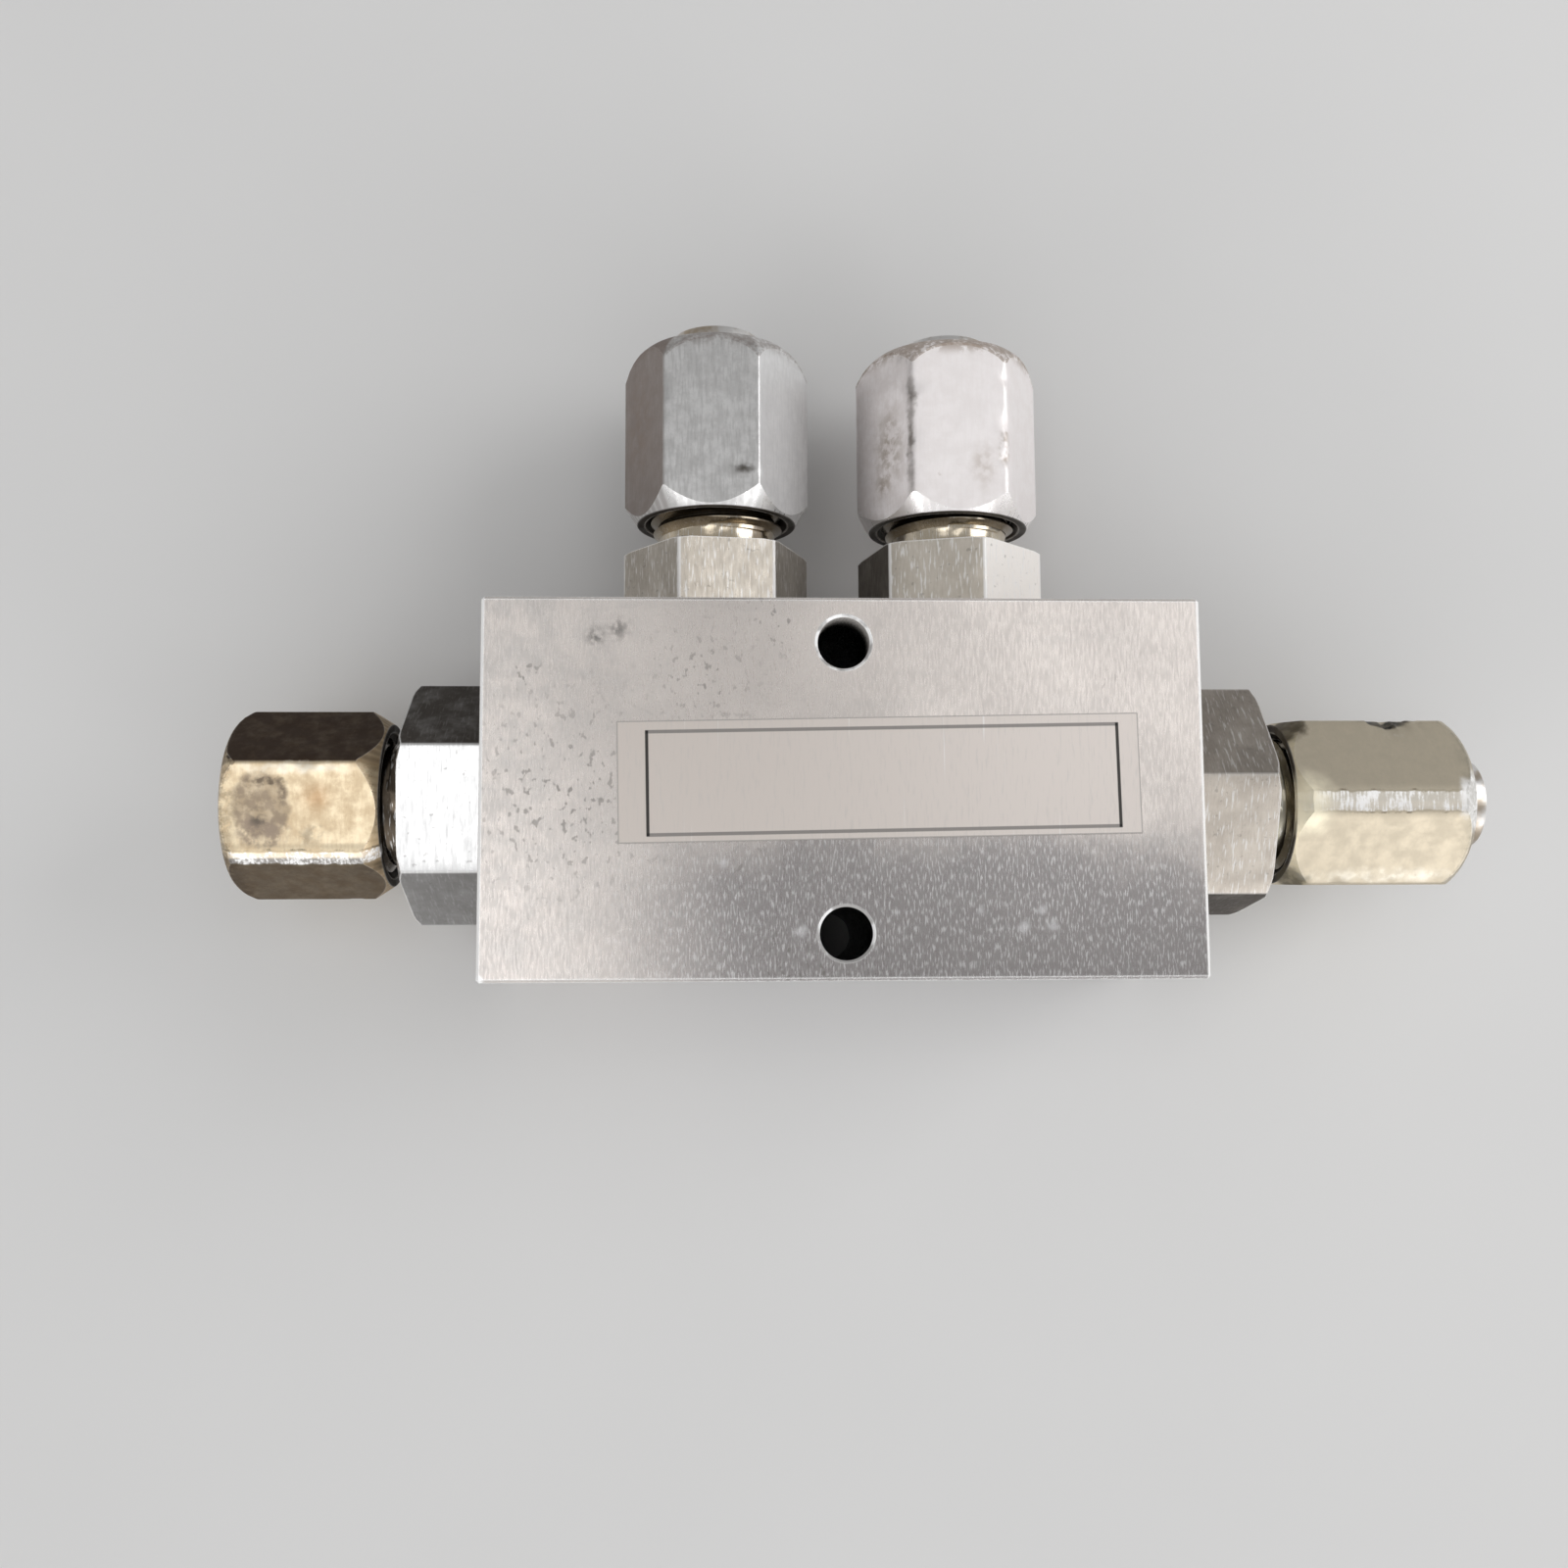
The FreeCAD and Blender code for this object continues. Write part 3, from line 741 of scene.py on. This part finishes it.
def block_plating(finish, grain, glints):
    """Clouds, rubs and mottling, with painted shade (a dark reflection) and more grain and scratches
    towards the lower side.
    """
    over, up, _ = finish.parts()
    clouds = finish.noise(0.10, detail=4.0, roughness=0.6)
    finish.paint(BLOCK_PALE, finish.ramp(clouds, 0.35, 0.65))

    # Painted shade on the lower side, where grain and scratches also grow
    drift = finish.math("ADD", finish.ramp(clouds, 0.3, 0.7, -2.0, 2.0),
                        finish.ramp(over, 20.0, 35.0, 0.0, 3.0))
    low = finish.product(finish.ramp(finish.math("ADD", up, drift), 1.0, -10.0),
                         finish.ramp(over, -29.0, -9.0))
    finish.paint(BLOCK_LOW_SHADE, low, 0.8)

    rubs = finish.noise(0.5, (0.12, 1.0, 1.0), detail=3.0)
    finish.paint(BLOCK_SHADE, finish.ramp(rubs, 0.55, 0.75, 0.0, 0.18))
    mottle = finish.ramp(finish.noise(0.35, detail=5.0, roughness=0.65), 0.35, 0.65)
    finish.paint(BLOCK_SHADE, mottle, finish.ramp(over, -12.0, -34.0, 0.0, 0.45))

    grain_share = finish.math("MULTIPLY_ADD", low, 0.65, 0.16)
    finish.paint(grey(0.30, 0.02), finish.ramp(grain, 0.45, 0.75), grain_share)
    glint_share = finish.math("MULTIPLY_ADD", low, 0.38, 0.05)
    finish.paint(grey(0.95), finish.ramp(glints, 0.50, 0.68), glint_share)


def block_dirt(finish):
    """Dried drops, specks in two places and here and there, and two smudges."""
    finish.paint(DRIED_DROP, finish.patches(DROPS, finish.ragged(1.0, 1.0)), 0.55)
    specks = finish.ramp(finish.noise(1.5, (1.0, 0.7, 1.0), detail=2.0, roughness=0.55), 0.59, 0.66)
    elsewhere = finish.ramp(finish.noise(0.07, detail=1.0), 0.62, 0.72)
    speckled = finish.most(finish.patches(SPECKLED), elsewhere)
    finish.paint(grey(0.22, 0.06), speckled, 0.8, specks)
    broken = finish.ramp(finish.noise(1.6, detail=3.0), 0.35, 0.6)
    finish.paint(grey(0.14, 0.04), finish.patches(SMUDGES), broken, 0.9)


def block_edges(finish):
    """Worn bright edges, painted highlight lines along the ends, and a bright corner. Gives the share
    that is edge.
    """
    over, _, deep = finish.parts()
    # Painted highlight lines along the top edges of the block's ends
    end_highlight = finish.product(finish.ramp(finish.unsigned(over), *END_HIGHLIGHT_OVER),
                              finish.ramp(deep, *END_HIGHLIGHT_DEEP))
    edge = finish.most(finish.edge(0.30), end_highlight)
    finish.paint(grey(0.96, 0.005), edge)
    finish.paint(grey(0.97), finish.patches(NICKS))
    return edge


def block_holes(finish):
    """Mounting holes: chamfers bright from wear and a painted highlight, and painted shade in the bores
    with a painted lit wall. Gives the share of rough metal.
    """
    over, up, deep = finish.parts()
    from_middle = finish.less(finish.unsigned(up), MOUNT_HOLE_Y)
    squares = finish.math("MULTIPLY_ADD", from_middle, from_middle, finish.product(over, over))
    from_wall = finish.less(finish.math("SQRT", squares), MOUNT_HOLE_RADIUS)

    # Bright chamfers: wear with a painted highlight
    chamfer = finish.ramp(from_wall, *HOLE_CHAMFER)
    worn = finish.ramp(finish.noise(0.45, detail=2.0), 0.45, 0.58)
    finish.paint(finish.mix(worn, grey(0.45, 0.02), grey(0.97)), chamfer)

    # Painted shade in the bores, with a painted lit wall near the top of the upper hole
    bore_shade = finish.ramp(from_wall, *HOLE_BORE_SHADE)
    painted_lit_side = finish.product(finish.ramp(deep, 23.0, 28.0), finish.ramp(up, 0.0, 5.0))
    finish.paint(finish.mix(painted_lit_side, grey(0.03, 0.03), grey(0.50, 0.05)), bore_shade)
    return finish.most(finish.less(chamfer, bore_shade), finish.product(bore_shade, painted_lit_side))


def plate_finish():
    """Thin silver foil, smoother than the block, with a printed frame, painted shade along its rim, and
    nothing in it.
    """
    finish = Finish("bare_plate", PLATE_DUSKY)
    grain = finish.noise(5.0, (1.0, 0.12, 1.0), detail=2.0)
    scratches = finish.noise(3.0, (1.0, 0.015, 1.0), detail=1.0)
    finish.paint(PLATE_PALE, finish.ramp(finish.parts()[0], -22.0, 28.0))
    finish.paint(grey(0.5, 0.03), finish.ramp(grain, 0.5, 0.8, 0.0, 0.25))
    finish.paint(grey(0.93), finish.ramp(scratches, 0.70, 0.76, 0.0, 0.5))
    plate_print(finish)
    # Painted shade along the plate's rim
    rim_shade = [finish.ramp(distance, half - PLATE_RIM, half - PLATE_RIM / 2)
            for distance, half in zip(finish.tilted(PLATE_MIDDLE, PLATE_TILT), PLATE_HALF)]
    finish.paint(grey(0.3, 0.03), finish.most(*rim_shade), 0.65)
    finish.bump(grain, 0.002)
    return finish.close(0.42)


def plate_print(finish):
    """Printed frame, whose level sides are a little wider and paler than the upright ones."""
    along, across = finish.tilted(PRINT_MIDDLE, PLATE_TILT)
    upright = finish.line(along, PRINT_HALF[0], PRINT_LINE)
    level = finish.line(across, PRINT_HALF[1], 1.1 * PRINT_LINE)
    within = [finish.ramp(distance, half + PRINT_LINE, half + PRINT_LINE - PRINT_BLUR)
              for distance, half in zip((along, across), PRINT_HALF)]
    finish.paint(grey(0.16, 0.03), within[0], 0.75, level)
    finish.paint(grey(0.02), within[1], 0.93, upright)


def bar_finish(fitting, light, dark, neck, corner_highlight):
    """Drawn and plated bar for a stud: streaks, soiled flats with painted shade and painted highlights,
    bright edges with painted highlight lines on the corners, grime and painted shade on the thread.
    """
    finish = Finish(fitting.name + "_bar", light)
    height, _, angle = finish.axis(fitting)
    length = fitting.stud_length
    thread = length + NECK_LENGTH
    stretch = (1.0, 0.12, 0.12) if fitting.at_end else (1.0, 0.12, 1.0)
    streaks = finish.noise(4.5, stretch, detail=3.0, roughness=0.65)
    glints = finish.noise(5.0, stretch, detail=2.0)
    clouds = finish.noise(0.3, detail=4.0, roughness=0.6)
    specks = finish.ramp(finish.noise(1.6, detail=2.0), 0.64, 0.74)
    on_hexagon = finish.ramp(height, length + 0.1, length - 0.1)
    # Stain and painted shade on some flats, a painted highlight on others
    soil_and_shading = finish.product(on_hexagon, finish.ramp(clouds, 0.25, 0.6, 0.9, 1.0),
                          finish.flats(angle, fitting.stud_turn, fitting.stud_soil_and_shading))

    finish.paint(dark, finish.ramp(clouds, 0.3, 0.7, 0.0, 0.5))
    finish.paint(dark, finish.ramp(streaks, 0.45, 0.75, 0.0, 0.4))
    finish.soil_and_shading(soil_and_shading, GRIME_AND_SHADE, BAR_PAINTED_HIGHLIGHT)
    finish.paint(neck, finish.ramp(height, length - 0.05, length + 0.05))
    glint_share = finish.ramp(soil_and_shading, 0.2, 0.9, 0.55, 0.05)
    finish.paint(grey(0.9), finish.ramp(glints, 0.56, 0.68), glint_share)
    finish.paint(grey(0.12, 0.1), specks, 0.35)
    # Grime and painted shade on the thread under the nut
    finish.paint(THREAD_GRIME_AND_SHADE, finish.ramp(height, thread - 0.4, thread + 0.5, 0.0, 0.6))

    # Painted highlight lines along the hexagon's corners, with worn bright edges
    away = corner_distance(finish, angle, fitting.stud_turn, fitting.stud_across)
    corner = finish.product(finish.ramp(away, 0.28, 0.12, 0.0, corner_highlight),
                            finish.ramp(clouds, 0.35, 0.5, 0.4, 1.0))
    edge = finish.product(finish.most(finish.edge(0.25), corner), on_hexagon, 0.85)
    finish.paint(grey(0.95, 0.01), edge)
    finish.dull(finish.most(finish.unsigned(soil_and_shading), edge), 1.0)
    finish.bump(finish.math("ADD", streaks, glints), 0.005)
    roughness = finish.product(finish.ramp(streaks, 0.3, 0.7, 0.26, 0.38),
                               finish.ramp(on_hexagon, 0.0, 1.0, 0.6, 1.0))
    return finish.close(roughness, soil_and_shading)


def corner_distance(finish, angle, turn, across):
    """Distance in mm from a hexagon's nearest corner, measured round it."""
    away = finish.math("PINGPONG", finish.less(angle, math.radians(turn)), HALF_SIDE)
    return finish.product(away, corner_radius(across))


class NutFinish(Finish):
    """Worn zinc plating of a union nut, with its noises and where its skirt and crown are."""

    def __init__(self, fitting, colour):
        super().__init__(fitting.name + "_zinc", colour)
        self.fitting = fitting
        self.height, self.radius, self.angle = self.axis(fitting)
        self.foot, self.top = fitting.reach("union_nut")
        self.clouds = self.noise(0.6, detail=5.0, roughness=0.6)
        self.streaks = self.noise(3.5, (1.0, 0.12, 1.0), detail=4.0, roughness=0.6)
        self.blotches = self.noise(0.5, detail=6.0, roughness=0.7)
        self.fine = self.noise(2.2, detail=4.0, roughness=0.65)
        self.skirt_edge = self.over_skirt()
        self.crown_edge = self.under_crown()
        self.on_skirt = self.ramp(self.skirt_edge, 0.06, -0.06)
        self.on_crown = self.ramp(self.crown_edge, 0.10, 0.03)

    def over_skirt(self):
        """Height in mm over the edge where the flats run into the skirt cone."""
        slope = NUT_SKIRT_BEVEL / (corner_radius(NUT_HEX) - NUT_SKIRT_RADIUS)
        rise = self.product(self.less(self.radius, NUT_SKIRT_RADIUS), slope)
        return self.less(self.less(self.height, self.foot), rise)

    def under_crown(self):
        """Depth in mm under the edge where the flats run into the crown."""
        _, bend, bend_radius, bend_height = crown_arc(self.fitting)
        away = self.less(self.radius, bend_radius)
        rise = self.math("SQRT", self.less(bend ** 2, self.product(away, away)))
        return self.less(self.math("ADD", rise, bend_height), self.height)

    def soil_and_shading_share(self):
        """Soil and painted shade on the flats, with painted highlights below 0, none on the skirt, and
        less on the crown at the block's ends.
        """
        crown_share = 0.6 if self.fitting.at_end else 1.0
        return self.product(self.flats(self.angle, self.fitting.nut_turn, self.fitting.nut_soil_and_shading),
                            self.ramp(self.blotches, 0.3, 0.6, 0.96, 1.0),
                            self.ramp(self.on_skirt, 0.0, 1.0, 1.0, 0.0),
                            self.ramp(self.on_crown, 0.0, 1.0, 1.0, crown_share))

    def shade_bore_and_foot(self):
        """Painted shade in the thread bore and on the foot. Gives the share that has it."""
        seat = self.foot + NUT_THREAD_DEPTH
        inside = self.ramp(self.radius, TUBE_THREAD_RADIUS + 0.7, TUBE_THREAD_RADIUS + 0.5)
        inside = self.product(inside, self.ramp(self.height, seat + 1, seat))
        bore_and_foot_shade = self.most(inside, self.ramp(self.height, self.foot + 0.10, self.foot + 0.02))
        self.paint(GRIME_AND_SHADE, bore_and_foot_shade)
        return bore_and_foot_shade

    def wear_edges(self):
        """Bright edges, less so along skirt and crown. Gives the share that is worn."""
        to_arc = self.math("MINIMUM", self.unsigned(self.skirt_edge), self.crown_edge)
        worn = self.product(self.edge(0.35), self.ramp(self.blotches, 0.35, 0.55, 0.4, 0.95),
                            self.ramp(to_arc, 0.3, 0.8, 0.25, 1.0))
        self.paint(grey(0.92, 0.01), worn)
        return worn

    def wear_corner(self, crown_glare):
        """Bright band on a corner worn flat, and its dark borders. Gives the crown's glare over it."""
        half_width = self.fitting.worn_depth * math.sqrt(3)
        corner = math.radians(self.fitting.nut_turn + 60 * self.fitting.worn_corner)
        away = self.unsigned(self.less(self.angle, corner))
        away = self.math("ADD", self.product(away, corner_radius(NUT_HEX)),
                         self.ramp(self.blotches, 0.35, 0.65, -0.13, 0.13))
        glare = self.product(self.on_crown, self.ramp(away, 4.6, 2.6, 0.0, crown_glare))
        self.paint(grey(0.98), glare)

        band = self.product(self.ramp(away, half_width + 0.05, half_width - 0.15),
                            self.ramp(self.on_crown, 0.0, 1.0, 1.0, 0.0))
        texture = self.math("MULTIPLY_ADD", self.blotches, 0.5, self.product(self.streaks, 0.5))
        self.paint(grey(0.95, 0.01), band, self.ramp(texture, 0.42, 0.54, 1.0, 0.3))
        border = self.line(away, half_width + 0.08, 0.12)
        self.paint(OLD_OIL, border, self.ramp(self.blotches, 0.35, 0.5, 0.9, 0.2))
        return glare

    def soil_crown(self, stain_and_shade, share):
        """Stain towards the nut's end, and a line of it along the crown's edge."""
        self.paint(stain_and_shade, self.ramp(self.height, self.top - 2.2, self.top - 0.8),
                   self.ramp(self.blotches, 0.4, 0.55), share)
        self.paint(stain_and_shade, self.line(self.crown_edge, 0.12, 0.16),
                   self.ramp(self.fine, 0.42, 0.55, 0.2, 1.0), share)


def nut_finish(fitting, light, dark, stain_and_shade, skirt_colour_and_highlight, painted_highlight,
               stain_share, streak_share, crown_soil, crown_glare=0.0):
    """Worn zinc plating: clouds, drawn streaks, soiled flats with painted shade and painted highlights,
    marks, bright worn corners with a painted glare on the crown, and the branch nuts' skirts painted
    white as a highlight.
    """
    finish = NutFinish(fitting, light)
    finish.paint(dark, finish.ramp(finish.clouds, 0.35, 0.65, 0.0, 0.5))
    finish.paint(dark, finish.ramp(finish.streaks, 0.42, 0.68, 0.0, streak_share))
    finish.paint(dark, finish.ramp(finish.fine, 0.5, 0.7, 0.0, 0.25))
    soil_and_shading = finish.soil_and_shading_share()
    finish.soil_and_shading(soil_and_shading, stain_and_shade, painted_highlight)
    finish.paint(stain_and_shade, finish.ramp(finish.blotches, 0.75 - stain_share, 0.92 - stain_share, 0.0, 0.8))
    # Skirt colour; on the branch nuts a white painted highlight
    finish.paint(skirt_colour_and_highlight, finish.on_skirt)

    # On the branch nuts the skirt is dulled so that its painted white highlight shows
    skirt_highlight_share = 0.0 if fitting.at_end else 0.6
    rough = [finish.shade_bore_and_foot(), finish.wear_edges(), finish.unsigned(soil_and_shading),
             finish.product(finish.on_skirt, skirt_highlight_share)]
    if fitting.worn_corner is not None:
        rough.append(finish.wear_corner(crown_glare))
    finish.dull(finish.most(*rough), 0.9)
    finish.stain_and_shade(NUT_MARKS[fitting.name])
    finish.soil_crown(stain_and_shade, crown_soil)

    relief = finish.math("ADD", finish.product(finish.clouds, 0.6), finish.product(finish.fine, 0.4))
    finish.bump(finish.math("ADD", relief, finish.product(finish.streaks, 0.3)), 0.010)
    roughness = finish.product(finish.ramp(finish.clouds, 0.3, 0.7, 0.30, 0.42),
                               finish.ramp(finish.on_skirt, 0.0, 1.0, 1.0, 0.5))
    return finish.close(roughness, soil_and_shading)


def plug_finish(fitting):
    """Turned steel with fine rings, browned in places."""
    finish = Finish(fitting.name + "_turned", grey(0.68, 0.02))
    height = finish.axis(fitting)[0]
    clouds = finish.noise(0.35, detail=3.0, roughness=0.6)
    rings = finish.math("SINE", finish.product(height, math.tau / PLUG_RING_PITCH))
    finish.paint(PLUG_BROWN, finish.ramp(clouds, 0.42, 0.68))
    finish.paint(grey(0.9), finish.edge(0.2))
    finish.bump(rings, 0.002)
    return finish.close(0.30)


def seal_finish():
    finish = Finish("nitrile", grey(0.012), metallic=0.0)
    finish.paint(grey(0.03), finish.noise(2.0))
    return finish.close(0.55)


# Marks on the nuts: place, radius, colour, how far they fade, the least and the most that they
# cover, and how much they are squeezed along X, Y and Z
ROUND = (1, 1, 1)
NUT_MARKS = {
    "left_end": [
        ((-58.6, -1.2, 23.0), 3.0, (0.36, 0.285, 0.21, 1), 0.4, 0.6, 0.95, (1, 0.9, 1)),
        ((-58.4, -4.0, 23.0), 2.6, (0.34, 0.27, 0.21, 1), 0.6, 0.2, 0.9, (1, 1.6, 1)),
        ((-57.9, 1.2, 23.0), 1.1, BURNT_BROWN, 0.3, 0.2, 0.8, (0.55, 3.0, 1)),
        ((-56.4, 0.3, 23.0), 0.5, BURNT_BROWN, 0.4, 0.1, 0.7, (1, 0.5, 1)),
        ((-58.8, -2.6, 23.0), 0.7, (0.14, 0.12, 0.10, 1), 0.5, 0.1, 0.8, ROUND),
        ((-53.0, -0.4, 23.0), 1.2, (0.55, 0.35, 0.19, 1), 1.0, 0.6, 0.8, ROUND),
        ((-53.6, -4.2, 23.0), 0.9, (0.20, 0.16, 0.12, 1), 0.5, 0.0, 0.5, (0.6, 1, 1)),
        ((-55.0, 2.5, 23.4), 0.6, (0.93, 0.86, 0.72, 1), 0.4, 0.4, 0.9, (0.12, 1.2, 1)),
        # Painted shade on the skirt at the nut's foot
        ((-48.2, -6.0, 19.0), 1.8, FOOT_SHADE_BLACK, 0.5, 0.7, 0.95, ROUND),
        ((-48.2, 5.6, 18.0), 1.2, FOOT_SHADE_BLACK, 0.5, 0.5, 0.9, ROUND),
    ],
    "right_end": [
        ((58.4, 7.9, 19.4), 0.9, (0.015, 0.014, 0.012, 1), 0.25, 0.8, 1.0, (0.32, 0.9, 1)),
        ((58.6, 6.6, 21.2), 0.5, WHITE_RUB_AND_HIGHLIGHT, 0.3, 0.2, 1.0, (0.3, 1, 1)),
        # Painted shade on the skirt at the nut's foot
        ((47.6, 7.4, 19.0), 2.2, (0.07, 0.055, 0.035, 1), 0.5, 0.85, 0.95, (1, 0.8, 1)),
        ((48.6, -8.2, 17.5), 2.0, (0.10, 0.085, 0.055, 1), 0.5, 0.7, 0.9, ROUND),
        ((48.4, -1.3, 23.0), 2.4, (0.92, 0.85, 0.66, 1), 1.2, 0.7, 0.9, (1, 0.8, 1)),
        # Painted highlight on the crown next to the worn corner
        ((65.2, -0.6, 23.4), 0.9, WHITE_RUB_AND_HIGHLIGHT, 0.4, 0.9, 1.0, (1, 0.5, 1)),
        ((58.0, -8.3, 19.0), 0.7, (0.88, 0.84, 0.74, 1), 0.6, 0.2, 0.8, (0.1, 1, 1)),
    ],
    "left_branch": [
        ((-10.0, 33.8, 23.0), 0.6, (0.07, 0.06, 0.05, 1), 0.5, 0.3, 0.9, (0.5, 1.2, 1)),
        ((-17.0, 46.5, 20.5), 1.4, (0.20, 0.15, 0.12, 1), 0.9, 0.2, 0.8, ROUND),
        ((-19.5, 40.0, 16.5), 3.0, (0.24, 0.19, 0.16, 1), 2.0, 0.1, 0.6, (1, 0.5, 1)),
    ],
    "right_branch": [
        ((5.2, 37.3, 20.0), 1.7, RUST_BROWN, 1.7, 0.1, 0.7, (0.9, 0.5, 1)),
        ((4.6, 33.6, 19.0), 1.1, RUST_BROWN, 1.0, 0.0, 0.6, ROUND),
        ((7.8, 38.5, 22.6), 0.5, (0.24, 0.21, 0.19, 1), 0.3, 0.5, 0.9, (0.9, 0.08, 1)),
        ((5.6, 48.2, 20.6), 0.7, (0.16, 0.12, 0.10, 1), 0.4, 0.3, 0.95, (0.26, 1, 0.5)),
        ((10.6, 46.8, 21.5), 0.9, (0.22, 0.18, 0.16, 1), 0.6, 0.2, 0.9, (0.28, 1, 1)),
        ((17.6, 36.6, 22.5), 0.5, RUST_BROWN, 0.4, 0.0, 0.8, (0.8, 0.25, 1)),
        ((15.4, 34.4, 23.0), 1.0, (0.55, 0.48, 0.43, 1), 0.8, 0.2, 0.6, (1, 0.5, 1)),
    ],
}

# What sets one fitting's stud or nut apart from the next
BAR_LOOKS = {
    "left_end": {"light": grey(0.88), "dark": grey(0.70), "neck": THREAD_GRIME_AND_SHADE, "corner_highlight": 0.3},
    "right_end": {"light": (0.68, 0.62, 0.55, 1), "dark": (0.38, 0.335, 0.29, 1),
                  "neck": (0.44, 0.41, 0.33, 1), "corner_highlight": 0.2},
    "left_branch": {"light": (0.68, 0.625, 0.55, 1), "dark": (0.45, 0.40, 0.34, 1),
                    "neck": (0.60, 0.52, 0.40, 1), "corner_highlight": 1.0},
    "right_branch": {"light": (0.68, 0.625, 0.55, 1), "dark": (0.50, 0.45, 0.38, 1),
                     "neck": (0.60, 0.53, 0.42, 1), "corner_highlight": 1.0},
}
NUT_LOOKS = {
    "left_end": {
        "light": (0.94, 0.80, 0.57, 1), "dark": (0.64, 0.46, 0.27, 1),
        "stain_and_shade": (0.034, 0.020, 0.012, 1), "skirt_colour_and_highlight": (0.30, 0.20, 0.10, 1),
        "painted_highlight": (0.92, 0.88, 0.80, 1), "stain_share": 0.06, "streak_share": 0.25,
        "crown_soil": 0.35},
    "right_end": {
        "light": (0.70, 0.61, 0.47, 1), "dark": (0.58, 0.51, 0.40, 1),
        "stain_and_shade": (0.28, 0.26, 0.21, 1), "skirt_colour_and_highlight": (0.70, 0.62, 0.42, 1),
        "painted_highlight": (0.92, 0.90, 0.85, 1), "stain_share": 0.03, "streak_share": 0.25,
        "crown_soil": 0.3, "crown_glare": 0.95},
    "left_branch": {
        "light": grey(0.68, 0.005), "dark": grey(0.42, 0.01),
        "stain_and_shade": (0.20, 0.16, 0.14, 1), "skirt_colour_and_highlight": grey(0.97),
        "painted_highlight": (0.88, 0.88, 0.885, 1), "stain_share": 0.06, "streak_share": 0.55,
        "crown_soil": 0.45},
    "right_branch": {
        "light": (0.90, 0.86, 0.86, 1), "dark": (0.68, 0.62, 0.60, 1),
        "stain_and_shade": (0.36, 0.29, 0.24, 1), "skirt_colour_and_highlight": grey(0.97),
        "painted_highlight": (0.94, 0.90, 0.895, 1), "stain_share": 0.08, "streak_share": 0.35,
        "crown_soil": 0.75},
}


def floor_and_light():
    scene = bpy.context.scene
    scene.view_settings.view_transform = "Standard"

    floor_mesh = bmesh.new()
    bmesh.ops.create_grid(floor_mesh, x_segments=1, y_segments=1, size=FLOOR_HALF)
    paper = Finish("paper", grey(0.70, 0.004), metallic=0.0)
    paper.paint(grey(0.74, 0.004), paper.noise(0.02, detail=2.0))
    floor = finished("floor", floor_mesh, paper.close(0.8))
    floor.location.z = -FLOOR_DROP * MM

    scene.world = studio_walls()
    for name, (direction, distance, width, power) in LAMPS.items():
        lamp(name, Vector(direction).normalized() * distance, width, power)


def studio_walls():
    """World that is brighter in front than behind."""
    world = bpy.data.worlds.new("studio")
    world.use_nodes = True
    tree = world.node_tree
    direction = tree.nodes.new("ShaderNodeTexCoord").outputs["Generated"]
    facing = tree.nodes.new("ShaderNodeVectorMath")
    facing.operation = "DOT_PRODUCT"
    facing.inputs[1].default_value = BRIGHT_SIDE
    tree.links.new(direction, facing.inputs[0])
    level = tree.nodes.new("ShaderNodeMapRange")
    level.interpolation_type = "SMOOTHSTEP"
    for socket, number in zip(level.inputs[1:], (*WALL_CHANGE, *WALL_LEVELS)):
        socket.default_value = number
    tree.links.new(facing.outputs["Value"], level.inputs["Value"])
    tree.links.new(level.outputs["Result"], tree.nodes["Background"].inputs["Color"])
    return world


def lamp(name, place, size, power):
    data = bpy.data.lights.new(name, "AREA")
    data.shape = "DISK"
    data.size = size
    data.energy = power
    light = bpy.data.objects.new(name, data)
    light.location = place
    light.rotation_mode = "QUATERNION"
    light.rotation_quaternion = place.to_track_quat("Z", "Y")
    bpy.context.scene.collection.objects.link(light)


def camera():
    data = bpy.data.cameras.new("camera")
    data.lens = LENS
    data.sensor_width = SENSOR
    data.clip_start = 1 * MM
    eye = bpy.data.objects.new("camera", data)
    eye.location = CAMERA_PLACE * MM
    eye.rotation_mode = "QUATERNION"
    eye.rotation_quaternion = Quaternion(CAMERA_TURN.normalized(), CAMERA_TURN.length)
    bpy.context.scene.collection.objects.link(eye)
    bpy.context.scene.camera = eye


def dress(node, material):
    """Give a CAD node a material."""
    data = frame["nodes"][node].data
    data.materials.clear()
    data.materials.append(material)


camera()
floor_and_light()
dress("manifold_block", block_finish())
dress("data_plate", plate_finish())
rubber = seal_finish()
for fitting in FITTINGS:
    name = fitting.name
    stud(fitting, bar_finish(fitting, **BAR_LOOKS[name]))
    nut(fitting, nut_finish(fitting, **NUT_LOOKS[name]))
    plug(fitting, plug_finish(fitting))
    dress(name + "_stud_seal", rubber)
    dress(name + "_plug_seal", rubber)
